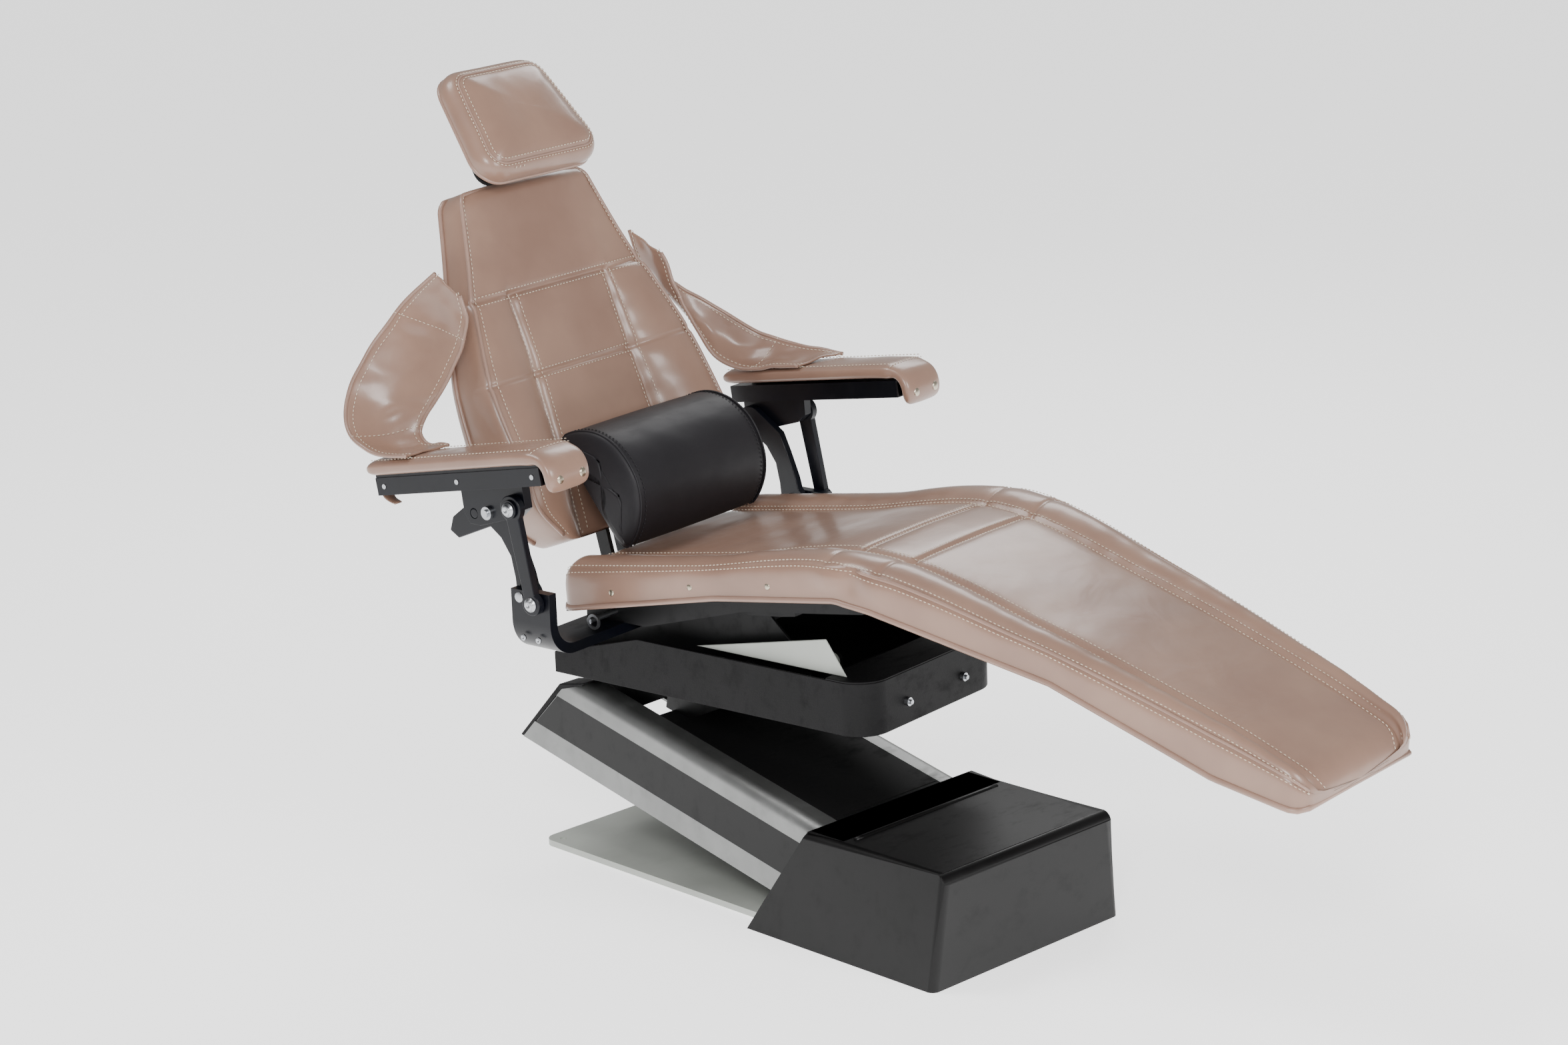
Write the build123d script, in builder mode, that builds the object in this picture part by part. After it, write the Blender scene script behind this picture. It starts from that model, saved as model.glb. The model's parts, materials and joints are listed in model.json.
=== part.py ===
from build123d import *
import os
from math import cos, radians, sin

os.makedirs("parts", exist_ok=True)

# The chair stands on its floor plate.  Origin: centre of the plate's underside.
# +X is the patient's left, +Y runs towards the head, +Z is up.  Millimetres and degrees.
# The pieces above the swivel are drawn square to the swivel axis and turned when they are saved.

# ---- Fits and gaps ------------------------------------------------------------------------
RUN = 0.05          # radial clearance of a pin in the bore it runs in
SIDE = 1.5          # gap between plates that swing past each other
RECLINE_OPEN = 13.0     # the same, at the recline cylinder's rod
OPEN_PIVOT = 4.0    # extra radius in the eyes of rods whose linkage is opened there

# ---- Floor plate and base cover ------------------------------------------------------------
PLATE_LENGTH = 872.0
PLATE_WIDTH = 328.0
PLATE_THICK = 10.0
ANCHOR_X = 290.0
ANCHOR_Y = 820.0
ANCHOR_R = 5.5
COVER_WIDTH = 400.0
COVER_TOP_WIDTH = 352.0
COVER_HEIGHT = 171.0
COVER_FRONT = -440.0
COVER_TOP_REAR = -176.0
COVER_WING_REAR = -67.0
COVER_WALL = 4.0
COVER_SLOT = -244.0      # the top is open behind this, where the arm rises through it

# ---- Lift arm ------------------------------------------------------------------------------
ARM_RISE = 12.0          # angle of the arm at rest
PIVOT_Y = -275.0
PIVOT_Z = 99.0
ARM_PITCH = 639.0        # front pivot to rear pivot
ARM_HALF_WIDTH = 151.0
ARM_TOP = 48.0           # outer surfaces above and below the pivot line
ARM_BOTTOM = -94.0
ARM_FRONT = 26.0
ARM_REAR = 760.0
ARM_FLANGE_EDGE = 110.0
ARM_WALL = 4.0
ARM_CORNER = 20.0
INLAY_LOW = -57.0
INLAY_HIGH = 8.0
INLAY_THICK = 2.0
FRAME_X = 100.0
FRAME_WALL = 6.0
BRACKET_WALL = 8.0
SHAFT_R = 12.0
LINK_DROP = 45.0         # levelling link below the arm's pivots
LINK_X = -60.0
LINK_WIDTH = 12.0
LINK_PIN_R = 6.0
LINK_HUB_R = 15.0
CARRIAGE_X = 80.0
CARRIAGE_WALL = 8.0
CARRIAGE_RISE = 52.0     # rear pivot to the underside of the carriage plate
CARRIAGE_PLATE = 10.0
LIFT_CLEVIS_Y = -235.0
LIFT_CLEVIS_Z = 38.0
LIFT_PIN_U = 300.0
LIFT_PIN_V = -15.0
LIFT_PIN_R = 7.0
LIFT_BARREL_R = 20.0
LIFT_ROD_R = 10.0
LIFT_EYE_R = 17.0

# ---- Swivel and pan ------------------------------------------------------------------------
SWIVEL_Y = 250.0
SWIVEL_TURN = 7.2
BEARING_R = 88.0
BEARING_RING = 5.4
SPINDLE_R = 30.0
PAN_FLOOR_Z = 305.0
PAN_HALF_WIDTH = 165.0
PAN_FRONT = -470.0
PAN_REAR = 137.0
PAN_PEAK_Y = -33.0
PAN_REAR_Z = 338.0
PAN_TOP_Z = 386.0
PAN_WALL = 3.0
PAN_CORNER = 48.0
STANDOFF_X = 69.0
STANDOFF_Z = 340.0
STANDOFF_R = 6.5

# ---- Yoke, recline axis and arm linkage ----------------------------------------------------
YOKE_OUTER = 340.0
YOKE_THICK = 16.0
YOKE_BOTTOM = 397.0
YOKE_TOP = 498.0
YOKE_FRONT = -20.0
YOKE_REAR = 56.0
YOKE_CORNER = 52.0
RECLINE_Y = 40.0
RECLINE_Z = 486.0
LINK_LOW_Y = 5.0
LINK_LOW_Z = 483.0
LINK_TOP_Y = 36.0
LINK_TOP_Z = 625.0
HEAD_Y = 122.0
HEAD_Z = 603.0
PIVOT_PIN_R = 8.0
LINK_LOW_PIN_R = 6.0
RECLINE_PIN_R = 7.0
PLATE_X = 309.0          # inner face of the wide hinge plates
PLATE_WALL = 13.0
ARM_LINK_WALL = 12.0

# ---- Armrests: rail length, and where each rail is clamped on its bracket ---------------------
RAIL_LENGTH = 340.0
RAIL_HEIGHT = 27.0
RAIL_INNER = 315.0
RAIL_OUTER = 375.0
RAIL_LIP = 5.0
PAD_THICK = 22.0
PAD_OVERHANG = 18.0
RIGHT_RAIL = {"middle_y": 120.0, "middle_z": 659.5, "slope": -10.6,
              "sling": [(0, 0), (46, 44), (50, 98), (16, 160), (-46, 214), (-72, 246)]}
LEFT_RAIL = {"middle_y": -6.0, "middle_z": 666.5, "slope": -8.5,
             "sling": [(0, 0), (0, 52), (34, 108), (84, 160), (128, 226)]}

# ---- Seat ----------------------------------------------------------------------------------
SEAT_HALF_WIDTH = 238.0
TOE_HALF_WIDTH = 150.0
SEAT_REAR = 58.0
KNEE_Y = -490.0
TOE_Y = -1192.0
RAIL_X = 150.0
RAIL_WIDE = 25.0

# ---- Back and headrest -----------------------------------------------------------------------
BACK_LEAN = 21.0         # back's surface from the vertical
BACK_FOOT_Y = 95.0
BACK_FOOT_Z = 530.0
BACK_LENGTH = 548.0
BACK_HALF_WIDTH = 243.0
BACK_TOP_HALF = 138.0
CUSHION_BACK = -47.0
SHELL_DEPTH = -92.0
SHELL_WALL = 4.0
TUBE_W = 66.0          # back's cross tube, up and behind its face
TUBE_N = -62.0
TUBE_R = 14.0
POST_N = -68.0
POST_WIDE = 60.0
POST_THICK = 8.0
POST_TOP = 619.0
HEAD_PIN_R = 4.5
HEAD_LEAN = 39.3
HEAD_FOOT_Y = 232.0
HEAD_FOOT_Z = 1073.0
HEAD_HEIGHT = 190.0
HEAD_THICK = 50.0
HEAD_LOW_HALF = 136.0
HEAD_TOP_HALF = 104.0

# ---- Lumbar roll -----------------------------------------------------------------------------
ROLL_R = 101.0
ROLL_HALF_LENGTH = 155.0
ROLL_CENTRE_Y = 60.0
ROLL_CENTRE_Z = 594.0
ROLL_TILT = 52.4

# ---- Frames of reference ---------------------------------------------------------------------
ARM_SIDE = Plane(
    origin=(0, PIVOT_Y, PIVOT_Z),
    x_dir=(0, cos(radians(ARM_RISE)), sin(radians(ARM_RISE))),
    z_dir=(1, 0, 0),
)
ARM_ACROSS = Plane(
    origin=(0, PIVOT_Y, PIVOT_Z),
    x_dir=(1, 0, 0),
    z_dir=(0, -cos(radians(ARM_RISE)), -sin(radians(ARM_RISE))),
)
REAR_PIVOT_Y = PIVOT_Y + ARM_PITCH * cos(radians(ARM_RISE))
REAR_PIVOT_Z = PIVOT_Z + ARM_PITCH * sin(radians(ARM_RISE))
CARRIAGE_Z = REAR_PIVOT_Z + CARRIAGE_RISE
BACK_SIDE = Plane(
    origin=(0, BACK_FOOT_Y, BACK_FOOT_Z),
    x_dir=(0, sin(radians(BACK_LEAN)), cos(radians(BACK_LEAN))),
    z_dir=(1, 0, 0),
)
BACK_FACE = Plane(
    origin=(0, BACK_FOOT_Y, BACK_FOOT_Z),
    x_dir=(1, 0, 0),
    z_dir=(0, -cos(radians(BACK_LEAN)), sin(radians(BACK_LEAN))),
)
HEAD_FACE = Plane(
    origin=(0, HEAD_FOOT_Y, HEAD_FOOT_Z),
    x_dir=(1, 0, 0),
    z_dir=(0, -cos(radians(HEAD_LEAN)), sin(radians(HEAD_LEAN))),
)
UPPER_PLACE = Location((0, SWIVEL_Y, 0), (0, 0, SWIVEL_TURN))


def keep(piece, name):
    """Label a piece of the base and write it."""
    piece.label = name
    export_step(piece, f"parts/{name}.step")


def keep_upper(piece, name):
    """Turn a piece that rides on the swivel into its place, label it and write it."""
    turned = piece.moved(UPPER_PLACE)
    turned.label = name
    export_step(turned, f"parts/{name}.step")


def arm_point(u, v):
    """World (Y, Z) of a point given along and square to the lift arm."""
    rise = radians(ARM_RISE)
    return (PIVOT_Y + u * cos(rise) - v * sin(rise), PIVOT_Z + u * sin(rise) + v * cos(rise))


def back_point(w, n):
    """(Y, Z) of a point given up the back's face and out of it, towards the patient."""
    lean = radians(BACK_LEAN)
    return (BACK_FOOT_Y + w * sin(lean) - n * cos(lean), BACK_FOOT_Z + w * cos(lean) + n * sin(lean))


# ==== Base ======================================================================================
with BuildPart() as base_cover:
    with BuildSketch(Plane.YZ):
        Polygon((COVER_FRONT - 8, 0), (COVER_WING_REAR, 0), (COVER_TOP_REAR, COVER_HEIGHT),
                (COVER_FRONT - 14, COVER_HEIGHT), align=None)
    extrude(amount=COVER_WIDTH / 2, both=True)
    with BuildSketch(Plane.XZ):
        Polygon((-COVER_WIDTH / 2, 0), (COVER_WIDTH / 2, 0), (COVER_TOP_WIDTH / 2, COVER_HEIGHT),
                (-COVER_TOP_WIDTH / 2, COVER_HEIGHT), align=None)
    extrude(amount=PLATE_LENGTH, both=True, mode=Mode.INTERSECT)
    fillet(base_cover.edges().group_by(Axis.Z)[-1].group_by(Axis.Y)[0], 14)
    with BuildSketch(Plane.YZ):
        Polygon((COVER_FRONT - 4, -1), (COVER_WING_REAR + 60, -1),
                (COVER_WING_REAR + 60, COVER_HEIGHT + 20), (COVER_SLOT, COVER_HEIGHT + 20),
                (COVER_SLOT, COVER_HEIGHT - COVER_WALL), (COVER_FRONT - 9, COVER_HEIGHT - COVER_WALL),
                align=None)
    extrude(amount=COVER_TOP_WIDTH / 2 - COVER_WALL - 4, both=True, mode=Mode.SUBTRACT)
keep(base_cover.part, "base_cover")

BRACKET_INNER = FRAME_X + FRAME_WALL + SIDE
with BuildPart() as arm_pivot_brackets:
    with BuildSketch(Plane.YZ.offset(BRACKET_INNER)):
        Polygon((PIVOT_Y - 60, PLATE_THICK), (PIVOT_Y + 60, PLATE_THICK),
                (PIVOT_Y + 26, PIVOT_Z + 10), (PIVOT_Y - 26, PIVOT_Z + 10), align=None)
        with Locations((PIVOT_Y, PIVOT_Z)):
            Circle(28)
            Circle(SHAFT_R, mode=Mode.SUBTRACT)
    extrude(amount=BRACKET_WALL)
    mirror(about=Plane.YZ)
keep(arm_pivot_brackets.part, "arm_pivot_brackets")

with BuildPart() as front_pivot_shaft:
    with BuildSketch(Plane.YZ.offset(-BRACKET_INNER - BRACKET_WALL - 3)):
        with Locations((PIVOT_Y, PIVOT_Z)):
            Circle(SHAFT_R)
    extrude(amount=2 * (BRACKET_INNER + BRACKET_WALL + 3))
keep(front_pivot_shaft.part, "front_pivot_shaft")

LINK_FOOT_Z = PIVOT_Z - LINK_DROP
with BuildPart() as link_anchor:
    with BuildSketch(Plane.YZ.offset(LINK_X + LINK_WIDTH / 2 + SIDE)):
        Polygon((PIVOT_Y - 24, PLATE_THICK), (PIVOT_Y + 24, PLATE_THICK),
                (PIVOT_Y + 12, LINK_FOOT_Z), (PIVOT_Y - 12, LINK_FOOT_Z), align=None)
        with Locations((PIVOT_Y, LINK_FOOT_Z)):
            Circle(12)
    extrude(amount=BRACKET_WALL)
    with BuildSketch(Plane.YZ.offset(LINK_X - LINK_WIDTH / 2 - 3)):
        with Locations((PIVOT_Y, LINK_FOOT_Z)):
            Circle(LINK_PIN_R)
    extrude(amount=LINK_WIDTH + SIDE + 3)

CLEVIS_GAP = 14 + SIDE
with BuildPart() as lift_clevis:
    with BuildSketch(Plane.YZ.offset(CLEVIS_GAP)):
        Polygon((LIFT_CLEVIS_Y - 26, PLATE_THICK), (LIFT_CLEVIS_Y + 26, PLATE_THICK),
                (LIFT_CLEVIS_Y + 14, LIFT_CLEVIS_Z), (LIFT_CLEVIS_Y - 14, LIFT_CLEVIS_Z), align=None)
        with Locations((LIFT_CLEVIS_Y, LIFT_CLEVIS_Z)):
            Circle(14)
    extrude(amount=BRACKET_WALL)
    mirror(about=Plane.YZ)
    with BuildSketch(Plane.YZ.offset(-CLEVIS_GAP)):
        with Locations((LIFT_CLEVIS_Y, LIFT_CLEVIS_Z)):
            Circle(LIFT_PIN_R)
    extrude(amount=2 * CLEVIS_GAP)
with BuildPart() as floor_plate:
    with BuildSketch(Plane.XY):
        RectangleRounded(PLATE_WIDTH, PLATE_LENGTH, 20)
    extrude(amount=PLATE_THICK)
    with GridLocations(ANCHOR_X, ANCHOR_Y, 2, 2):
        Hole(ANCHOR_R)
    add(link_anchor.part)
    add(lift_clevis.part)
keep(floor_plate.part, "floor_plate")

with BuildPart() as pump_motor:
    with BuildSketch(Plane.YZ.offset(-150)):
        with Locations((-396, PLATE_THICK + 40)):
            Circle(34)
    extrude(amount=120)
    with BuildSketch(Plane.XY.offset(PLATE_THICK)):
        with Locations((-90, -396)):
            Rectangle(90, 50)
    extrude(amount=20)
keep(pump_motor.part, "pump_motor")

with BuildPart() as oil_reservoir:
    with BuildSketch(Plane.XY.offset(PLATE_THICK)):
        with Locations((85, -396)):
            RectangleRounded(120, 62, 8)
    extrude(amount=100)
    with BuildSketch(Plane.XY.offset(PLATE_THICK + 100)):
        with Locations((85, -396)):
            Circle(14)
    extrude(amount=14)
keep(oil_reservoir.part, "oil_reservoir")

# ==== Lift arm ==================================================================================
END_LOW = (ARM_REAR, ARM_BOTTOM)
END_MID = (ARM_REAR - 22, ARM_BOTTOM + 35)
END_HIGH = (ARM_REAR - 77, ARM_TOP - 24)
END_TOP = (ARM_REAR - 120, ARM_TOP)
SIDE_INNER = ARM_HALF_WIDTH - INLAY_THICK - ARM_WALL
SPACER_R = 9.0

with BuildPart() as arm_frame:
    with BuildSketch(ARM_SIDE.offset(FRAME_X)):
        Polygon((0, 30), (ARM_REAR - 135, 30), (ARM_REAR - 88, 16), (ARM_REAR - 60, -50),
                (ARM_REAR - 60, -85), (140, -85), (0, -30), align=None)
        Circle(32)
        Circle(SHAFT_R + RUN, mode=Mode.SUBTRACT)
        with Locations((ARM_PITCH, 0)):
            Circle(SHAFT_R, mode=Mode.SUBTRACT)
    extrude(amount=FRAME_WALL)
    with BuildSketch(ARM_SIDE.offset(FRAME_X + FRAME_WALL)):
        with Locations((170, 18), (320, 18), (470, 18)):
            Circle(SPACER_R)
    extrude(amount=SIDE_INNER - FRAME_X - FRAME_WALL)
    mirror(about=Plane.YZ)
    with BuildSketch(ARM_SIDE.offset(-FRAME_X)):
        with Locations((250, 28)):
            Rectangle(380, 4)
        with Locations((ARM_REAR - 230, -83)):
            Rectangle(300, 4)
        with Locations((LIFT_PIN_U, LIFT_PIN_V)):
            Circle(LIFT_PIN_R)
    extrude(amount=2 * FRAME_X)
keep(arm_frame.part, "arm_frame")


for side, way in (("right", -1), ("left", 1)):
    flange_mid = way * (SIDE_INNER + ARM_FLANGE_EDGE) / 2
    foot_mid = way * (SIDE_INNER + ARM_HALF_WIDTH - 26) / 2
    wall_mid = way * (ARM_HALF_WIDTH + SIDE_INNER) / 2
    with BuildPart() as arm_side:
        with BuildSketch(ARM_ACROSS.offset(-ARM_REAR)):
            with Locations((wall_mid, (ARM_TOP + ARM_BOTTOM) / 2)):
                Rectangle(ARM_HALF_WIDTH - SIDE_INNER, ARM_TOP - ARM_BOTTOM)
            with Locations((flange_mid, ARM_TOP - ARM_WALL / 2)):
                Rectangle(SIDE_INNER - ARM_FLANGE_EDGE, ARM_WALL)
            with Locations((flange_mid + way * (SIDE_INNER - ARM_FLANGE_EDGE) / 4, ARM_TOP - 11)):
                Rectangle((SIDE_INNER - ARM_FLANGE_EDGE) / 2, 16)
            with Locations((foot_mid, ARM_BOTTOM + ARM_WALL / 2)):
                Rectangle(SIDE_INNER - ARM_HALF_WIDTH + 26, ARM_WALL)
            with Locations((way * (ARM_HALF_WIDTH - INLAY_THICK / 2), (INLAY_LOW + INLAY_HIGH) / 2)):
                Rectangle(INLAY_THICK, INLAY_HIGH - INLAY_LOW, mode=Mode.SUBTRACT)
        extrude(amount=ARM_REAR - ARM_FRONT)
        with BuildSketch(ARM_SIDE.offset(-ARM_HALF_WIDTH - 1)):
            Polygon(END_LOW, END_MID, END_HIGH, END_TOP, (ARM_REAR + 40, ARM_TOP + 40),
                    (ARM_REAR + 40, ARM_BOTTOM - 40), align=None)
            Polygon((0, 10), (115, ARM_TOP + 1), (0, ARM_TOP + 1), align=None)
            Polygon((0, -50), (160, ARM_BOTTOM - 1), (0, ARM_BOTTOM - 1), align=None)
        extrude(amount=2 * ARM_HALF_WIDTH + 2, mode=Mode.SUBTRACT)
        long_edges = arm_side.edges().filter_by(lambda e: e.length > 400)
        top_outer = long_edges.sort_by(lambda e: ARM_ACROSS.to_local_coords(e @ 0.5).Y)[-2:]
        fillet(top_outer.sort_by(lambda e: abs((e @ 0.5).X))[-1], ARM_CORNER)
    keep(arm_side.part, f"arm_side_{side}")

    with BuildPart() as arm_inlay:
        with BuildSketch(ARM_SIDE.offset(way * (ARM_HALF_WIDTH - INLAY_THICK))):
            Polygon((ARM_FRONT + 60, INLAY_LOW), (ARM_REAR - 26, INLAY_LOW), (ARM_REAR - 69, INLAY_HIGH),
                    (ARM_FRONT + 60, INLAY_HIGH), align=None)
        extrude(amount=way * INLAY_THICK)
    keep(arm_inlay.part, f"arm_inlay_{side}")

    with BuildPart() as arm_end_cap:
        with BuildSketch(ARM_SIDE.offset(way * ARM_FLANGE_EDGE)):
            Polygon(END_LOW, END_MID, END_HIGH, END_TOP, (ARM_REAR - 124, ARM_TOP + 6),
                    (ARM_REAR - 70, ARM_TOP - 18), (ARM_REAR - 15, ARM_BOTTOM + 36),
                    (ARM_REAR + 7, ARM_BOTTOM), align=None)
        extrude(amount=way * (ARM_HALF_WIDTH - ARM_FLANGE_EDGE))
    keep(arm_end_cap.part, f"arm_end_cap_{side}")

with BuildPart() as arm_top_cover:
    with BuildSketch(ARM_SIDE.offset(-ARM_FLANGE_EDGE + 0.5)):
        Polygon((120, ARM_TOP - 3), (470, ARM_TOP - 3), (470, ARM_TOP), (120, ARM_TOP), align=None)
        Polygon((180, 30), (200, 30), (200, ARM_TOP - 3), (180, ARM_TOP - 3), align=None)
        Polygon((400, 30), (420, 30), (420, ARM_TOP - 3), (400, ARM_TOP - 3), align=None)
    extrude(amount=2 * ARM_FLANGE_EDGE - 1)
keep(arm_top_cover.part, "arm_top_cover")

with BuildPart() as rear_pivot_shaft:
    with BuildSketch(ARM_SIDE.offset(-FRAME_X - FRAME_WALL - 2)):
        with Locations((ARM_PITCH, 0)):
            Circle(SHAFT_R)
    extrude(amount=2 * (FRAME_X + FRAME_WALL + 2))
keep(rear_pivot_shaft.part, "rear_pivot_shaft")

LINK_REAR_Y = REAR_PIVOT_Y
LINK_REAR_Z = REAR_PIVOT_Z - LINK_DROP
with BuildPart() as levelling_link:
    with BuildSketch(ARM_SIDE.offset(LINK_X - LINK_WIDTH / 2)):
        with Locations(ARM_SIDE.to_local_coords(Vector(0, PIVOT_Y, LINK_FOOT_Z))):
            Circle(LINK_HUB_R)
        with Locations(ARM_SIDE.to_local_coords(Vector(0, LINK_REAR_Y, LINK_REAR_Z))):
            Circle(LINK_HUB_R)
        with Locations(ARM_SIDE.to_local_coords(
                Vector(0, (PIVOT_Y + LINK_REAR_Y) / 2, (LINK_FOOT_Z + LINK_REAR_Z) / 2))):
            Rectangle(ARM_PITCH, 20)
        with Locations(ARM_SIDE.to_local_coords(Vector(0, PIVOT_Y, LINK_FOOT_Z)),
                       ARM_SIDE.to_local_coords(Vector(0, LINK_REAR_Y, LINK_REAR_Z))):
            Circle(LINK_PIN_R + RUN, mode=Mode.SUBTRACT)
    extrude(amount=LINK_WIDTH)
keep(levelling_link.part, "levelling_link")

# ---- Lift cylinder -----------------------------------------------------------------------------
PIN_Y, PIN_Z = arm_point(LIFT_PIN_U, LIFT_PIN_V)
CYL_LENGTH = ((PIN_Y - LIFT_CLEVIS_Y) ** 2 + (PIN_Z - LIFT_CLEVIS_Z) ** 2) ** 0.5
CYL_DIR = (0, (PIN_Y - LIFT_CLEVIS_Y) / CYL_LENGTH, (PIN_Z - LIFT_CLEVIS_Z) / CYL_LENGTH)
CYL_AXIS = Plane(origin=(0, LIFT_CLEVIS_Y, LIFT_CLEVIS_Z), x_dir=(1, 0, 0), z_dir=CYL_DIR)
CYL_BARREL = CYL_LENGTH - 90
with BuildPart() as lift_barrel:
    with BuildSketch(Plane.YZ.offset(-14)):
        with Locations((LIFT_CLEVIS_Y, LIFT_CLEVIS_Z)):
            Circle(LIFT_EYE_R)
    extrude(amount=28)
    with BuildSketch(CYL_AXIS):
        Circle(12)
    extrude(amount=40)
    with BuildSketch(CYL_AXIS.offset(32)):
        Circle(LIFT_BARREL_R)
    extrude(amount=CYL_BARREL - 32)
    with BuildSketch(CYL_AXIS.offset(40)):
        Circle(LIFT_ROD_R + RUN)
    extrude(amount=CYL_BARREL, mode=Mode.SUBTRACT)
    with BuildSketch(Plane.YZ.offset(-30)):
        with Locations((LIFT_CLEVIS_Y, LIFT_CLEVIS_Z)):
            Circle(LIFT_PIN_R + RUN)
    extrude(amount=60, mode=Mode.SUBTRACT)
keep(lift_barrel.part, "lift_barrel")

with BuildPart() as lift_rod:
    with BuildSketch(CYL_AXIS.offset(100)):
        Circle(LIFT_ROD_R)
    extrude(amount=CYL_LENGTH - 100)
    with BuildSketch(Plane.YZ.offset(-12)):
        with Locations((PIN_Y, PIN_Z)):
            Circle(LIFT_EYE_R)
    extrude(amount=24)
    with BuildSketch(Plane.YZ.offset(-30)):
        with Locations((PIN_Y, PIN_Z)):
            Circle(LIFT_PIN_R + OPEN_PIVOT)
    extrude(amount=60, mode=Mode.SUBTRACT)
keep(lift_rod.part, "lift_rod")

# ==== Carriage ==================================================================================
RING_Z = CARRIAGE_Z + CARRIAGE_PLATE
with BuildPart() as carriage:
    with BuildSketch(Plane.YZ.offset(CARRIAGE_X)):
        Polygon((SWIVEL_Y - 60, CARRIAGE_Z), (REAR_PIVOT_Y - 18, REAR_PIVOT_Z - 14),
                (REAR_PIVOT_Y + 18, REAR_PIVOT_Z - 14), (REAR_PIVOT_Y + 24, CARRIAGE_Z), align=None)
        with Locations((REAR_PIVOT_Y, REAR_PIVOT_Z)):
            Circle(24)
            Circle(SHAFT_R + RUN, mode=Mode.SUBTRACT)
    extrude(amount=CARRIAGE_WALL)
    mirror(about=Plane.YZ)
    with BuildSketch(Plane.XY.offset(CARRIAGE_Z)):
        with Locations((0, (SWIVEL_Y - BEARING_R + REAR_PIVOT_Y + 24) / 2)):
            Rectangle(2 * BEARING_R + 4, REAR_PIVOT_Y + 24 - SWIVEL_Y + BEARING_R)
    extrude(amount=CARRIAGE_PLATE)
    with BuildSketch(Plane.YZ.offset(LINK_X + LINK_WIDTH / 2 + SIDE)):
        Polygon((LINK_REAR_Y - 14, CARRIAGE_Z), (LINK_REAR_Y - 12, LINK_REAR_Z),
                (LINK_REAR_Y + 12, LINK_REAR_Z), (LINK_REAR_Y + 14, CARRIAGE_Z), align=None)
        with Locations((LINK_REAR_Y, LINK_REAR_Z)):
            Circle(12)
        with Locations((REAR_PIVOT_Y, REAR_PIVOT_Z)):
            Circle(SHAFT_R + 1, mode=Mode.SUBTRACT)
    extrude(amount=CARRIAGE_WALL)
    with BuildSketch(Plane.YZ.offset(LINK_X - LINK_WIDTH / 2 - 3)):
        with Locations((LINK_REAR_Y, LINK_REAR_Z)):
            Circle(LINK_PIN_R)
    extrude(amount=LINK_WIDTH + SIDE + 3)
    with BuildSketch(Plane.XY.offset(CARRIAGE_Z)):
        with Locations((0, SWIVEL_Y)):
            Circle(SPINDLE_R + RUN)
    extrude(amount=CARRIAGE_PLATE, mode=Mode.SUBTRACT)
    with BuildSketch(Plane.XY.offset(RING_Z)):
        with Locations((0, SWIVEL_Y)):
            Circle(BEARING_R)
            Circle(SPINDLE_R + 10, mode=Mode.SUBTRACT)
    extrude(amount=BEARING_RING)
keep(carriage.part, "carriage")

# ==== Above the swivel ============================================================================
RING_TOP = RING_Z + BEARING_RING
with BuildPart() as swivel_ring_upper:
    with BuildSketch(Plane.XY.offset(RING_TOP + 0.2)):
        Circle(BEARING_R)
    extrude(amount=PAN_FLOOR_Z - RING_TOP - 0.2)
    with BuildSketch(Plane.XY.offset(CARRIAGE_Z - 4)):
        Circle(SPINDLE_R)
    extrude(amount=PAN_FLOOR_Z - CARRIAGE_Z + 4)
keep_upper(swivel_ring_upper.part, "swivel_ring_upper")

FOOT_Y = -270.0
FOOT_Z = 345.0
with BuildPart() as recline_foot:
    with BuildSketch(Plane.YZ.offset(15)):
        Polygon((FOOT_Y - 20, PAN_FLOOR_Z + PAN_WALL), (FOOT_Y + 20, PAN_FLOOR_Z + PAN_WALL),
                (FOOT_Y + 12, FOOT_Z), (FOOT_Y - 12, FOOT_Z), align=None)
        with Locations((FOOT_Y, FOOT_Z)):
            Circle(12)
    extrude(amount=8)
    mirror(about=Plane.YZ)
    with BuildSketch(Plane.YZ.offset(-16)):
        with Locations((FOOT_Y, FOOT_Z)):
            Circle(LIFT_PIN_R - 1)
    extrude(amount=32)

with BuildPart() as swivel_pan:
    with BuildSketch(Plane.YZ):
        Polygon((PAN_REAR, PAN_FLOOR_Z), (PAN_REAR, PAN_REAR_Z), (PAN_PEAK_Y, PAN_TOP_Z),
                (PAN_FRONT, PAN_TOP_Z), (PAN_FRONT, PAN_FLOOR_Z), align=None)
    extrude(amount=PAN_HALF_WIDTH, both=True)
    fillet(swivel_pan.edges().filter_by(Axis.Z).group_by(Axis.Y)[0], PAN_CORNER)
    with BuildSketch(Plane.XY.offset(PAN_FLOOR_Z + PAN_WALL)):
        with Locations((0, (PAN_REAR + PAN_FRONT) / 2)):
            Rectangle(2 * (PAN_HALF_WIDTH - PAN_WALL), PAN_REAR - PAN_FRONT - 2 * PAN_WALL)
        fillet(vertices().group_by(Axis.Y)[0], PAN_CORNER - PAN_WALL)
    extrude(amount=100, mode=Mode.SUBTRACT)
    add(recline_foot.part)
keep_upper(swivel_pan.part, "swivel_pan")

with BuildPart() as front_cross_plate:
    with BuildSketch(Plane.XY.offset(PAN_TOP_Z)):
        with Locations((0, (PAN_FRONT - 395) / 2)):
            Rectangle(2 * PAN_HALF_WIDTH, -395 - PAN_FRONT)
        fillet(vertices().group_by(Axis.Y)[0], PAN_CORNER)
    extrude(amount=3)
keep_upper(front_cross_plate.part, "front_cross_plate")

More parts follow.
